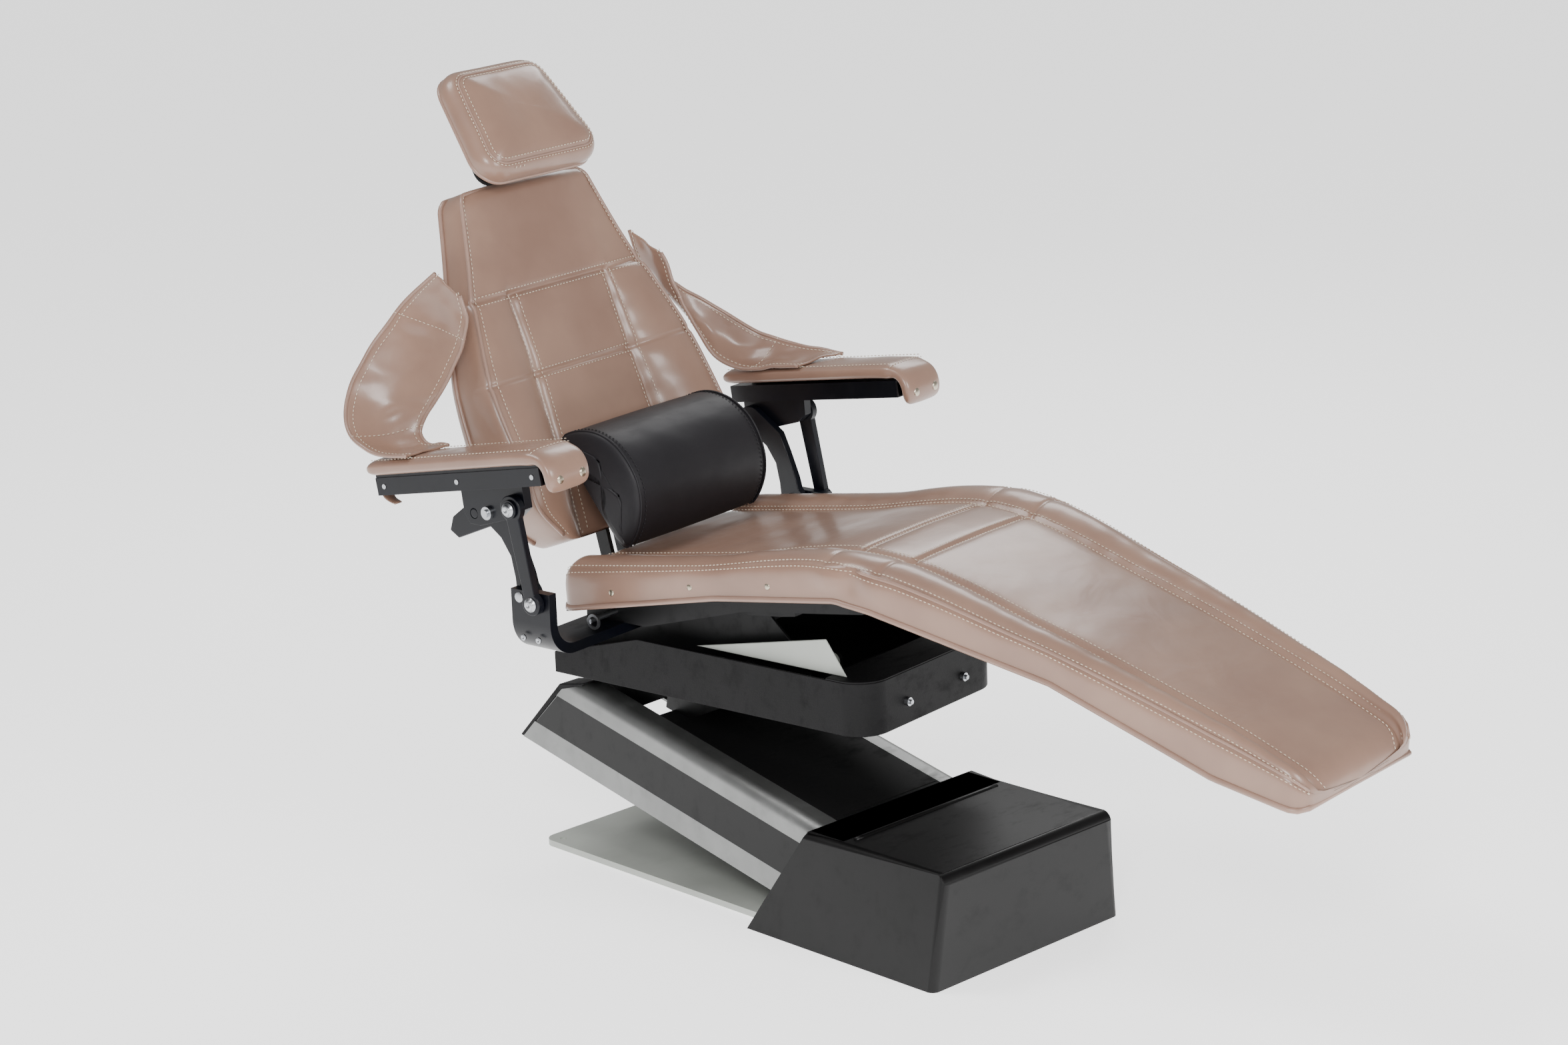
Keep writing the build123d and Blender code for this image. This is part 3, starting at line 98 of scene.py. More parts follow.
# ==== Frames ======================================================================================
def upper() -> Matrix:
    """Millimetres square to the swivel axis, taken to metres in the row frame."""
    turn = Matrix.Rotation(radians(SWIVEL_TURN), 4, "Z")
    return Matrix.Translation((0, SWIVEL_Y * MM, 0)) @ turn @ Matrix.Scale(MM, 4)


def leaning(foot: Point, lean: float) -> Matrix:
    """Frame of a padded face that leans back from the vertical.

    Args:
        foot: middle of the face's lower edge, square to the swivel axis.
        lean: its lean from the vertical, in degrees.

    Returns:
        Matrix from (across, up the face, out of the face) to the row frame.
    """
    c, s = cos(radians(lean)), sin(radians(lean))
    basis = Matrix(((1, 0, 0, foot[0]), (0, s, -c, foot[1]), (0, c, s, foot[2]), (0, 0, 0, 1)))
    return upper() @ basis


def along_arm() -> Matrix:
    """Frame of the lift arm: X across, Y along it to the rear, Z square out of its top."""
    c, s = cos(radians(ARM_RISE)), sin(radians(ARM_RISE))
    return Matrix(((MM, 0, 0, 0), (0, c * MM, -s * MM, ARM_PIVOT[1] * MM),
                   (0, s * MM, c * MM, ARM_PIVOT[2] * MM), (0, 0, 0, 1)))


# ==== Lines and meshes ============================================================================
def smooth_line(points: Sequence[Sequence[float]], count: int) -> np.ndarray:
    """Even points along a Catmull-Rom line.

    Args:
        points: points the line passes through.
        count: number of points returned, ends included.

    Returns:
        Array of count rows.
    """
    p = np.asarray(points, float)
    p = np.vstack([2 * p[0] - p[1], p, 2 * p[-1] - p[-2]])
    rows = []
    for i in range(1, len(p) - 2):
        t = np.linspace(0, 1, 24, endpoint=False)[:, None]
        rows.append(0.5 * (2 * p[i] + (p[i + 1] - p[i - 1]) * t
                           + (2 * p[i - 1] - 5 * p[i] + 4 * p[i + 1] - p[i + 2]) * t ** 2
                           + (3 * p[i] - p[i - 1] - 3 * p[i + 1] + p[i + 2]) * t ** 3))
    line = np.vstack(rows + [p[-2][None]])
    run = np.concatenate([[0], np.cumsum(np.linalg.norm(np.diff(line, axis=0), axis=1))])
    at = np.linspace(0, run[-1], count)
    return np.stack([np.interp(at, run, line[:, k]) for k in range(line.shape[1])], axis=1)


def along(table: Sequence[tuple[float, float]], at: float) -> float:
    """Reads a smooth curve given as (place, value) pairs, held flat past its ends.

    Args:
        table: pairs in rising order of place.
        at: the place to read.

    Returns:
        The curve's value.
    """
    x = [p[0] for p in table]
    v = [p[1] for p in table]
    if at <= x[0]:
        return v[0]
    if at >= x[-1]:
        return v[-1]
    i = int(np.searchsorted(x, at)) - 1
    i = max(0, min(i, len(x) - 2))
    slope = []
    for j in (i, i + 1):
        before, after = max(j - 1, 0), min(j + 1, len(x) - 1)
        slope.append((v[after] - v[before]) / (x[after] - x[before]))
    h = x[i + 1] - x[i]
    t = (at - x[i]) / h
    return ((2 * t ** 3 - 3 * t ** 2 + 1) * v[i] + (t ** 3 - 2 * t ** 2 + t) * h * slope[0]
            + (3 * t ** 2 - 2 * t ** 3) * v[i + 1] + (t ** 3 - t ** 2) * h * slope[1])


def straight(table: Sequence[tuple[float, float]], at: float) -> float:
    """Reads a table of (place, value) pairs by straight lines between them."""
    return float(np.interp(at, [p[0] for p in table], [p[1] for p in table]))


def bump(at: float, centre: float, width: float) -> float:
    """A smooth hump of height 1: a bell curve.

    Args:
        at: where it is read.
        centre: its middle.
        width: distance at which it has fallen to about a third.

    Returns:
        Height from 0 to 1.
    """
    return float(np.exp(-((at - centre) / width) ** 2))


def linked(name: str, data: bpy.types.ID) -> bpy.types.Object:
    """Makes an object of a mesh, light or camera and links it into the scene."""
    made = bpy.data.objects.new(name, data)
    bpy.context.scene.collection.objects.link(made)
    return made


def shade(piece: bpy.types.Object, smooth: bool) -> None:
    """Sets every face of a piece to smooth or flat shading."""
    piece.data.polygons.foreach_set("use_smooth", [smooth] * len(piece.data.polygons))


def piece_from(name: str, verts: Sequence[Sequence[float]], faces: Sequence[Sequence[int]],
               place: Matrix, smooth: bool = True) -> bpy.types.Object:
    """Makes a piece whose place is in its mesh.

    Args:
        name: the piece's name.
        verts: points in the frame that place starts from.
        faces: their faces.
        place: matrix to the row frame.
        smooth: whether it is shaded smooth.

    Returns:
        The new object, with outward normals.
    """
    mesh = bpy.data.meshes.new(name)
    mesh.from_pydata([place @ Vector(v) for v in verts], [], [list(f) for f in faces])
    mesh.validate()
    work = bmesh.new()
    work.from_mesh(mesh)
    bmesh.ops.remove_doubles(work, verts=work.verts, dist=WELD)
    bmesh.ops.recalc_face_normals(work, faces=work.faces)
    work.to_mesh(mesh)
    work.free()
    made = linked(name, mesh)
    shade(made, smooth)
    return made


def lofted(name: str, rings: Sequence[Sequence[Sequence[float]]], place: Matrix,
           capped: bool = True) -> bpy.types.Object:
    """Skins closed rings of equal length.

    Args:
        name: the piece's name.
        rings: closed rings, in order.
        place: matrix to the row frame.
        capped: whether the end rings are filled.

    Returns:
        The new object.
    """
    n = len(rings[0])
    verts = [p for ring in rings for p in ring]
    faces = [(r * n + i, r * n + (i + 1) % n, (r + 1) * n + (i + 1) % n, (r + 1) * n + i)
             for r in range(len(rings) - 1) for i in range(n)]
    if capped:
        for r in (0, len(rings) - 1):
            verts.append(tuple(np.mean(np.asarray(rings[r]), axis=0)))
            middle = len(verts) - 1
            faces += [(r * n + i, r * n + (i + 1) % n, middle) for i in range(n)]
    return piece_from(name, verts, faces, place)


def tube(name: str, line: Sequence[Sequence[float]], radius: float, place: Matrix,
         closed: bool = False, sides: int = 8) -> bpy.types.Object:
    """A round cord swept along a line, such as piping.

    Args:
        name: the piece's name.
        line: the points it follows.
        radius: its radius.
        place: matrix to the row frame.
        closed: whether the line joins up.
        sides: facets round it.

    Returns:
        The new object.
    """
    p = np.asarray(line, float)
    step = np.roll(p, -1, axis=0) - np.roll(p, 1, axis=0)
    if not closed:
        step[0], step[-1] = p[1] - p[0], p[-1] - p[-2]
    step /= np.linalg.norm(step, axis=1)[:, None]
    side = np.cross(step[0], (0.3, 0.5, 0.81))
    rings = []
    for at, way in zip(p, step):
        side = side - way * float(np.dot(side, way))
        side /= np.linalg.norm(side)
        other = np.cross(way, side)
        rings.append([tuple(at + radius * (cos(a) * side + sin(a) * other))
                      for a in np.linspace(0, 2 * pi, sides, endpoint=False)])
    if closed:
        rings.append(rings[0])
    return lofted(name, rings, place, capped=not closed)


# ==== Finishes ====================================================================================
def linear(hex_colour: str) -> tuple[float, float, float, float]:
    """An sRGB hex colour as linear values.

    Args:
        hex_colour: six digits after a #.

    Returns:
        Red, green, blue and alpha.
    """
    raw = [int(hex_colour[i:i + 2], 16) / 255 for i in (1, 3, 5)]
    return tuple(v / 12.92 if v <= 0.04045 else ((v + 0.055) / 1.055) ** 2.4 for v in raw) + (1.0,)


def add_node(tree: bpy.types.NodeTree, kind: str, inputs: dict | None = None,
             **settings: object) -> bpy.types.Node:
    """Adds one node with its settings, values and links.

    Args:
        tree: the tree it goes in.
        kind: Blender's name for the node.
        inputs: value or output socket for each input, by name or number.
        settings: the node's own properties.

    Returns:
        The node.
    """
    made = tree.nodes.new(kind)
    for key, value in settings.items():
        setattr(made, key, value)
    for key, value in (inputs or {}).items():
        if isinstance(value, bpy.types.NodeSocket):
            tree.links.new(value, made.inputs[key])
        else:
            made.inputs[key].default_value = value
    return made


@dataclass(frozen=True)
class Finish:
    """A surface: what it is made of, how it was finished, and how coarse its texture is."""

    name: str
    colour: str
    shade: str
    roughness: float
    metallic: float = 0.0
    coat: float = 0.0
    specular: float = 0.5
    grain_mm: float = 1.0
    grain_height: float = 0.1
    patch_mm: float = 120.0
    stretch: tuple[float, float, float] = (1.0, 1.0, 1.0)
    crease: float = 0.0
    scuffs: float = 0.0

    def build(self) -> bpy.types.Material:
        """Makes the node material: drifting colour, worn gloss, and two scales of relief.

        Returns:
            The material.
        """
        made = bpy.data.materials.new(self.name)
        made.use_nodes = True
        tree = made.node_tree
        tree.nodes.clear()
        place = add_node(tree, "ShaderNodeTexCoord").outputs["Object"]
        sized = add_node(tree, "ShaderNodeMapping",
                         {"Vector": place, "Scale": self.stretch}).outputs[0]
        patches = add_node(tree, "ShaderNodeTexNoise", {
            "Vector": place, "Scale": 1000 / self.patch_mm, "Detail": 4.0, "Roughness": 0.55})
        spread = add_node(tree, "ShaderNodeMapRange", {
            "Value": patches.outputs["Fac"], "From Min": 0.32, "From Max": 0.68})
        colour = add_node(tree, "ShaderNodeMix", {
            "Factor": spread.outputs[0], 6: linear(self.colour), 7: linear(self.shade)},
                          data_type="RGBA")
        fine = add_node(tree, "ShaderNodeTexNoise", {
            "Vector": sized, "Scale": 1000 / self.grain_mm, "Detail": 2.0, "Roughness": 0.6})
        scratch = add_node(tree, "ShaderNodeTexNoise", {
            "Vector": add_node(tree, "ShaderNodeMapping", {
                "Vector": place, "Rotation": (0.2, 0.5, 0.8), "Scale": (1.0, 2.4, 1.5)}).outputs[0],
            "Scale": 16.0, "Detail": 5.0, "Roughness": 0.7})
        worn = add_node(tree, "ShaderNodeMapRange", {
            "Value": scratch.outputs["Fac"], "From Min": 0.52, "From Max": 0.75,
            "To Min": self.roughness, "To Max": self.roughness + self.scuffs + 0.06})
        gloss = add_node(tree, "ShaderNodeMath", {0: worn.outputs[0], 1: add_node(
            tree, "ShaderNodeMath", {0: fine.outputs["Fac"], 1: 0.08},
            operation="MULTIPLY").outputs[0]})
        relief = add_node(tree, "ShaderNodeBump", {
            "Strength": 0.5, "Distance": self.grain_height * MM, "Height": fine.outputs["Fac"]})
        if self.crease:
            folds = add_node(tree, "ShaderNodeTexNoise", {
                "Vector": place, "Scale": 11.0, "Detail": 3.0, "Distortion": 0.7})
            relief = add_node(tree, "ShaderNodeBump", {
                "Strength": 0.6, "Distance": self.crease * MM, "Height": folds.outputs["Fac"],
                "Normal": relief.outputs[0]})
        shader = add_node(tree, "ShaderNodeBsdfPrincipled", {
            "Base Color": colour.outputs[2], "Roughness": gloss.outputs[0],
            "Metallic": self.metallic,
            "Coat Weight": self.coat, "Coat Roughness": 0.18, "Specular IOR Level": self.specular,
            "Normal": relief.outputs[0]})
        add_node(tree, "ShaderNodeOutputMaterial", {"Surface": shader.outputs[0]})
        return made


FINISHES: dict[str, Finish] = {
    # expanded PVC upholstery with a wet-looking lacquer: broad soft highlights, hardly any grain
    "taupe_vinyl": Finish("taupe upholstery vinyl", "#977867", "#87695A", 0.31, coat=0.4,
                          specular=0.5,
                          grain_mm=0.9, grain_height=0.12, patch_mm=160, crease=3.0),
    # the same cloth folded over cord, handled more, so a little pinker
    "piping_vinyl": Finish("piping vinyl", "#9C7E70", "#8E7163", 0.34, coat=0.3, grain_mm=0.9,
                           grain_height=0.08, patch_mm=90),
    # matt polyurethane coated cover: dark, even, with a dull sheen
    "charcoal_vinyl": Finish("charcoal upholstery vinyl", "#1B191D", "#161418", 0.52, coat=0.03,
                             specular=0.35,
                             grain_mm=0.7, grain_height=0.1, patch_mm=90, crease=1.2),
    # bonded polyester thread in cream
    "cream_thread": Finish("cream polyester thread", "#D9CBB8", "#CDBDA8", 0.6, grain_mm=0.4),
    "dark_thread": Finish("black polyester thread", "#17161A", "#1C1B1F", 0.65, grain_mm=0.4),
    # blue-black stoved enamel on plate steel
    "navy_steel": Finish("blue-black stoved enamel", "#090B14", "#06070C", 0.3, coat=0.15,
                         specular=0.25,
                         grain_mm=2.0, grain_height=0.05, scuffs=0.08),
    "dark_steel": Finish("black satin enamel", "#0E0E10", "#0A0A0B", 0.45, coat=0.05, specular=0.25,
                         grain_mm=1.6,
                         grain_height=0.08, scuffs=0.15),
    # textured powder coat: an orange-peel of about 2 mm, drawn coarse enough to show
    "textured_black_steel": Finish("textured powder coat", "#0D0C0E", "#080809", 0.55,
                                   specular=0.25, grain_mm=2.2,
                                   grain_height=0.45, scuffs=0.1),
    # injection moulded ABS, polished tool, with dusty scuffs
    "black_gloss_plastic": Finish("glossy moulded ABS", "#080808", "#0C0B0C", 0.36, coat=0.06,
                                  specular=0.25,
                                  grain_mm=1.4, grain_height=0.1, scuffs=0.08, patch_mm=60),
    "black_matte_plastic": Finish("matte moulded ABS", "#0B0B0C", "#070708", 0.6, specular=0.25,
                                  grain_mm=1.2,
                                  grain_height=0.12, scuffs=0.1),
    # extruded aluminium, satin anodised: fine lines along the length
    "satin_aluminium": Finish("satin anodised aluminium", "#8E8F8E", "#7E7F7E", 0.4, metallic=0.85,
                              grain_mm=1.2, grain_height=0.05, stretch=(1.0, 0.02, 1.0),
                              scuffs=0.1),
    "zinc_steel": Finish("bright zinc plate", "#BFC1C4", "#A9ABAF", 0.26, metallic=1.0,
                         grain_mm=0.8,
                         grain_height=0.04, scuffs=0.1),
    "chrome_rod": Finish("hard chrome", "#CFD1D4", "#C4C6CA", 0.12, metallic=1.0, grain_mm=0.8,
                         grain_height=0.01),
    # nickel-plated brass press studs
    "nickel_brass": Finish("nickel plated brass", "#C9BFAE", "#B3A892", 0.25, metallic=1.0,
                           grain_mm=0.8,
                           grain_height=0.02),
    "grey_painted_steel": Finish("light grey enamel", "#B9BDB6", "#ADB1AA", 0.42, grain_mm=1.5,
                                 grain_height=0.05, scuffs=0.1),
    "plywood": Finish("black stained plywood", "#1B1918", "#131110", 0.6, grain_mm=2.0,
                      grain_height=0.2,
                      stretch=(1.0, 0.1, 1.0)),
    "floor": Finish("pale studio floor", "#FDFDFD", "#FCFCFC", 0.7, specular=0.2, grain_mm=40,
                    grain_height=0.0),
}


class Wardrobe:
    """Makes each finish once and puts it on pieces."""

    def __init__(self) -> None:
        """Starts empty."""
        self.made: dict[str, bpy.types.Material] = {}

    def material(self, slot: str) -> bpy.types.Material:
        """The material of a named slot, built on first use."""
        if slot not in self.made:
            self.made[slot] = FINISHES[slot].build()
        return self.made[slot]

    def dress(self, piece: bpy.types.Object, slot: str) -> None:
        """Gives every face of a piece one finish."""
        piece.data.materials.clear()
        piece.data.materials.append(self.material(slot))

    def finish_piece(self, piece: bpy.types.Object, slot: str, body: str,
                     replaces: Sequence[str] = ()) -> bpy.types.Object:
        """Dresses a piece, puts it on its body and hides the CAD nodes it stands for.

        Args:
            piece: the finished object.
            slot: its finish.
            body: the CAD body it rides on.
            replaces: CAD nodes it stands for.

        Returns:
            The same object.
        """
        self.dress(piece, slot)
        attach(piece, body)
        if replaces:
            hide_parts(*replaces)
        LOG.info("%s on %s: %d faces", piece.name, body, len(piece.data.polygons))
        return piece


WARDROBE = Wardrobe()


# ==== Geometry Nodes ==============================================================================
@dataclass
class Repeater:
    """A Geometry Nodes tree that sets small copies along a line, or on marked points."""

    spacing: float
    size: Point

    def tree(self, material: bpy.types.Material,
             model: bpy.types.Object | None) -> bpy.types.NodeTree:
        """Builds the tree.

        Args:
            material: finish of the copies.
            model: the thing copied, or None for a thread's stitch along the line.

        Returns:
            The node group, with its sizes as named inputs.
        """
        group = bpy.data.node_groups.new("repeat", "GeometryNodeTree")
        face = group.interface
        face.new_socket("Geometry", in_out="INPUT", socket_type="NodeSocketGeometry")
        pitch = face.new_socket("Pitch", in_out="INPUT", socket_type="NodeSocketFloat")
        pitch.default_value = self.spacing * MM
        size = face.new_socket("Size", in_out="INPUT", socket_type="NodeSocketVector")
        size.default_value = tuple(v * MM for v in self.size)
        face.new_socket("Geometry", in_out="OUTPUT", socket_type="NodeSocketGeometry")
        entry = add_node(group, "NodeGroupInput")
        if model is None:
            line = add_node(group, "GeometryNodeMeshToCurve", {"Mesh": entry.outputs["Geometry"]})
            dots = add_node(group, "GeometryNodeResampleCurve", {
                "Curve": line.outputs[0], "Length": entry.outputs["Pitch"]}, mode="LENGTH")
            way = add_node(group, "GeometryNodeInputTangent").outputs[0]
            thing = add_node(group, "GeometryNodeMeshUVSphere",
                             {"Segments": 6, "Rings": 4, "Radius": 0.5})
            turn = add_node(group, "FunctionNodeAlignRotationToVector", {"Vector": way}, axis="X")
            scale = entry.outputs["Size"]
        else:
            dots = add_node(group, "GeometryNodeMeshToPoints", {"Mesh": entry.outputs["Geometry"]})
            way = add_node(group, "GeometryNodeInputNamedAttribute", {"Name": "facing"},
                           data_type="FLOAT_VECTOR").outputs[0]
            thing = add_node(group, "GeometryNodeObjectInfo", {"Object": model})
            turn = add_node(group, "FunctionNodeAlignRotationToVector", {"Vector": way}, axis="Z")
            scale = (1.0, 1.0, 1.0)
        source = thing.outputs["Geometry" if model else "Mesh"]
        copies = add_node(group, "GeometryNodeInstanceOnPoints", {
            "Points": dots.outputs[0], "Instance": source, "Rotation": turn.outputs[0],
            "Scale": scale})
        real = add_node(group, "GeometryNodeRealizeInstances", {0: copies.outputs[0]})
        dressed = add_node(group, "GeometryNodeSetMaterial", {
            "Geometry": real.outputs[0], "Material": material})
        add_node(group, "NodeGroupOutput", {0: dressed.outputs[0]})
        return group

    def run(self, name: str, seed: bpy.types.Object, slot: str, body: str,
            model: bpy.types.Object | None = None) -> bpy.types.Object:
        """Runs the tree on a seed mesh and keeps the result as a plain mesh.

        Args:
            name: the result's name.
            seed: lines or points, used up.
            slot: finish of the copies.
            body: the CAD body they ride on.
            model: the thing copied, or None for stitches.

        Returns:
            The plain piece.
        """
        repeat = seed.modifiers.new("repeat", "NODES")
        repeat.node_group = self.tree(WARDROBE.material(slot), model)
        ready = seed.evaluated_get(bpy.context.evaluated_depsgraph_get())
        mesh = bpy.data.meshes.new_from_object(ready)
        bpy.data.objects.remove(seed)
        made = linked(name, mesh)
        shade(made, True)
        if body:
            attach(made, body)
        LOG.info("%s: %d faces", name, len(mesh.polygons))
        return made


def stitch_row(name: str, lines: Sequence[np.ndarray], place: Matrix, body: str,
               slot: str = "cream_thread", pitch: float = 7.0,
               thick: float = 1.5) -> bpy.types.Object:
    """Sews rows of stitches along lines.

    Args:
        name: the piece's name.
        lines: the rows, in the frame that place starts from.
        place: matrix to the row frame.
        body: the CAD body they ride on.
        slot: the thread.
        pitch: stitch spacing.
        thick: the thread's thickness, drawn coarse enough to show.

    Returns:
        The stitches as one plain piece.
    """
    mesh = bpy.data.meshes.new(name)
    verts: list[Vector] = []
    edges: list[tuple[int, int]] = []
    for line in lines:
        start = len(verts)
        verts += [place @ Vector(p) for p in line]
        edges += [(i, i + 1) for i in range(start, len(verts) - 1)]
    mesh.from_pydata(verts, edges, [])
    seed = linked(name + "_seed", mesh)
    return Repeater(pitch, (pitch * 0.72, thick, thick)).run(name, seed, slot, body)


def studs(name: str, model: bpy.types.Object, spots: Sequence[tuple[Point, Point]], place: Matrix,
          slot: str, body: str) -> bpy.types.Object:
    """Sets one small fitting on each marked spot.

    Args:
        name: the piece's name.
        model: the fitting, modelled in metres about its own origin with its face to +Z.
        spots: (place, facing) of each.
        place: matrix to the row frame.
        slot: finish.
        body: the CAD body they ride on.

    Returns:
        The fittings as one plain piece.
    """
    mesh = bpy.data.meshes.new(name)
    mesh.from_pydata([place @ Vector(p) for p, _ in spots], [], [])
    facing = mesh.attributes.new("facing", "FLOAT_VECTOR", "POINT")
    for i, (_, way) in enumerate(spots):
        facing.data[i].vector = (place.to_3x3() @ Vector(way)).normalized()
    seed = linked(name + "_seed", mesh)
    return Repeater(0, (1, 1, 1)).run(name, seed, slot, body, model)


def turned_fitting(name: str, profile: Sequence[tuple[float, float]], socket: int = 0,
                   socket_r: float = 0.0, depth: float = 0.0, sides: int = 24) -> bpy.types.Object:
    """A turned fitting such as a screw head or press stud, kept off the scene.

    Args:
        name: its name.
        profile: (radius, height) from the rim of its base to the edge of its socket or its middle.
        socket: number of sides of the socket, 0 for none.
        socket_r: the socket's radius.
        depth: the socket's depth.
        sides: facets round it.

    Returns:
        An object about its own origin that the repeater copies.
    """
    rings = []
    for r, z in profile:
        rings.append([(r * cos(a) * MM, r * sin(a) * MM, z * MM)
                      for a in np.linspace(0, 2 * pi, sides, endpoint=False)])
    if socket:
        z = profile[-1][1]
        for level in (z, z - depth):
            ring = []
            for a in np.linspace(0, 2 * pi, sides, endpoint=False):
                part = (a % (2 * pi / socket)) - pi / socket
                r = socket_r * cos(pi / socket) / cos(part)
                ring.append((r * cos(a) * MM, r * sin(a) * MM, level * MM))
            rings.append(ring)
    made = lofted(name, rings, Matrix.Identity(4))
    shade(made, False)
    for collection in made.users_collection:
        collection.objects.unlink(made)
    return made


# ==== Shapes shared by the upholstery =============================================================
def rounded_outline(corners: Sequence[tuple[float, float]], radius: float, inset: float,
                    count: int) -> np.ndarray:
    """Outline of a convex panel with rounded corners, drawn in from its edge.

    Args:
        corners: the panel's corners, anticlockwise.
        radius: corner radius at the edge.
        inset: how far inside the edge.
        count: number of points.

    Returns:
        Array of count (x, y) rows, starting near the first corner.
    """
    r = max(radius - inset, 5.0)
    p = np.asarray(corners, float)
    n = len(p)
    way = np.roll(p, -1, axis=0) - p
    way /= np.linalg.norm(way, axis=1)[:, None]
    inward = np.stack([-way[:, 1], way[:, 0]], axis=1)
    base = p + inward * (inset + r)
    line = []
    for i in range(n):
        j = (i - 1) % n
        a = np.stack([way[j], -way[i]], axis=1)
        at = base[j] + way[j] * np.linalg.solve(a, base[i] - base[j])[0]
        start = np.arctan2(-inward[j][1], -inward[j][0])
        turn = (np.arctan2(-inward[i][1], -inward[i][0]) - start) % (2 * pi)
        line += [at + r * np.array((cos(start + turn * k / 8), sin(start + turn * k / 8)))
                 for k in range(9)]
    line = np.vstack([line, line[:1]])
    run = np.concatenate([[0], np.cumsum(np.linalg.norm(np.diff(line, axis=0), axis=1))])
    at = np.linspace(0, run[-1], count, endpoint=False)
    return np.stack([np.interp(at, run, line[:, k]) for k in (0, 1)], axis=1)


def wrinkle(x: float, y: float, seed: float, size: float = 1.0) -> float:
    """Slack in the vinyl: low ridges, a millimetre or so high.

    Args:
        x: place across.
        y: place along.
        seed: picks the pattern.
        size: height in millimetres.

    Returns:
        Height of the ridge.
    """
    return size * (noise.noise(Vector((x / 60, y / 85, seed)))
                   + 0.45 * noise.noise(Vector((x / 24, y / 30, seed + 7))))


def rounding(depth: float, radius: float) -> float:
    """How far a rounded edge has drawn in, at a depth inside its end."""
    return 0.0 if depth >= radius else radius - sqrt(max(radius ** 2 - (radius - depth) ** 2, 0.0))


def smoother(piece: bpy.types.Object, levels: int = 1) -> None:
    """Adds a subdivision surface to a piece."""
    finer = piece.modifiers.new("smooth", "SUBSURF")
    finer.levels = levels
    finer.render_levels = levels


def softened(node: str, width: float, smooth_over: float = 32.0,
             large: float = 0.0) -> bpy.types.Object:
    """Copies a CAD piece and rounds its sharp edges as a moulding or a deburred plate has them.

    Args:
        node: the CAD node, which the copy stands for.
        width: width of the rounded edge in millimetres.
        smooth_over: edges that turn less than this are left.
        large: where it isn't 0, only outer edges between faces of at least this many square metres.

    Returns:
        The copy.
    """
    work = bmesh.new()
    work.from_mesh(frame["nodes"][node].data)
    bmesh.ops.remove_doubles(work, verts=work.verts, dist=CAD_WELD)
    bmesh.ops.dissolve_limit(work, angle_limit=radians(FLAT_TURN), verts=work.verts,
                             edges=work.edges)
    sharp = [e for e in work.edges if e.is_manifold
             and e.calc_face_angle(0.0) > radians(smooth_over)]
    if large:
        sharp = [e for e in sharp if e.is_convex
                 and min(f.calc_area() for f in e.link_faces) > large]
    bmesh.ops.bevel(work, geom=sharp, offset=width * MM, segments=6 if large else 3, profile=0.5,
                    affect="EDGES", clamp_overlap=not large)
    bmesh.ops.triangulate(work, faces=[f for f in work.faces if len(f.verts) > 4])
    low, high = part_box(node)
    for vertex in work.verts:
        vertex.co = [min(max(v, a), b) for v, a, b in zip(vertex.co, low, high)]
    mesh = bpy.data.meshes.new(node + "_finished")
    work.to_mesh(mesh)
    work.free()
    mesh.polygons.foreach_set("use_smooth", [True] * len(mesh.polygons))
    mesh.set_sharp_from_angle(angle=radians(SHADED_SHARP))
    made = linked(node + "_finished", mesh)
    made.modifiers.new("even", "WEIGHTED_NORMAL").keep_sharp = True
    return made


# ==== Metalwork and mouldings =====================================================================
@dataclass
class Structure:
    """Every CAD piece that shows: plates deburred, mouldings rounded, the rest given its finish."""

    edge_mm: dict[str, float] = field(default_factory=lambda: {
        "yoke": 2.2, "swivel_pan": 1.2, "front_cross_plate": 1.2, "arm_side_right": 1.2,
        "arm_side_left": 1.2,
        "arm_end_cap_right": 3.5, "arm_end_cap_left": 2.5, "arm_top_cover": 2.5, "side_panel": 1.5,
        "hinge_plate_right": 2.0, "hinge_plate_left": 2.0, "arm_link_right": 2.0,
        "arm_link_left": 2.0,
        "rail_right": 1.6, "rail_left": 1.6, "bracket_right": 1.6, "bracket_left": 1.6,
        "back_shell": 1.5,
        "headrest_shell": 2.0, "headrest_bracket": 1.0, "pedestal": 1.2, "seat_board": 1.5})
    shell_edge: float = 1.5
    shell_front: float = -70.0
    shell_depth: float = 20.0
    shell_middle: float = 270.0
    shell_narrower: float = 0.15
    shell_shorter: float = 0.07

    def build(self) -> None:
        """Dresses each CAD node by its record slot, or swaps in a copy with softened edges."""
        slots = {row["node"]: row["material_slot"] for row in frame["record"]["subparts"]}
        bodies = {n: b for b,
                  nodes in frame["record"]["behaviour"]["bodies"].items() for n in nodes}
        for node, slot in slots.items():
            if node == "back_shell":
                self.dome_shell(slot)
            elif node in self.edge_mm:
                WARDROBE.finish_piece(softened(node, self.edge_mm[node]), slot, bodies[node],
                                      [node])
            else:
                WARDROBE.dress(frame["nodes"][node], slot)

    def dome_shell(self, slot: str) -> None:
        """Draws the back shell's rear in towards its middle, behind the cushion's side.

        Args:
            slot: its finish.
        """
        shell = softened("back_shell", self.shell_edge)
        frame_of = leaning(BACK_FOOT, BACK_LEAN)
        inverse = frame_of.inverted()
        for vertex in shell.data.vertices:
            at = inverse @ vertex.co
            share = min(max((self.shell_front - at.z) / self.shell_depth, 0.0), 1.0)
            at.x *= 1 - self.shell_narrower * share
            at.y = self.shell_middle + (at.y - self.shell_middle) * (1 - self.shell_shorter * share)
            vertex.co = frame_of @ at
        WARDROBE.finish_piece(shell, slot, "back", ["back_shell"])


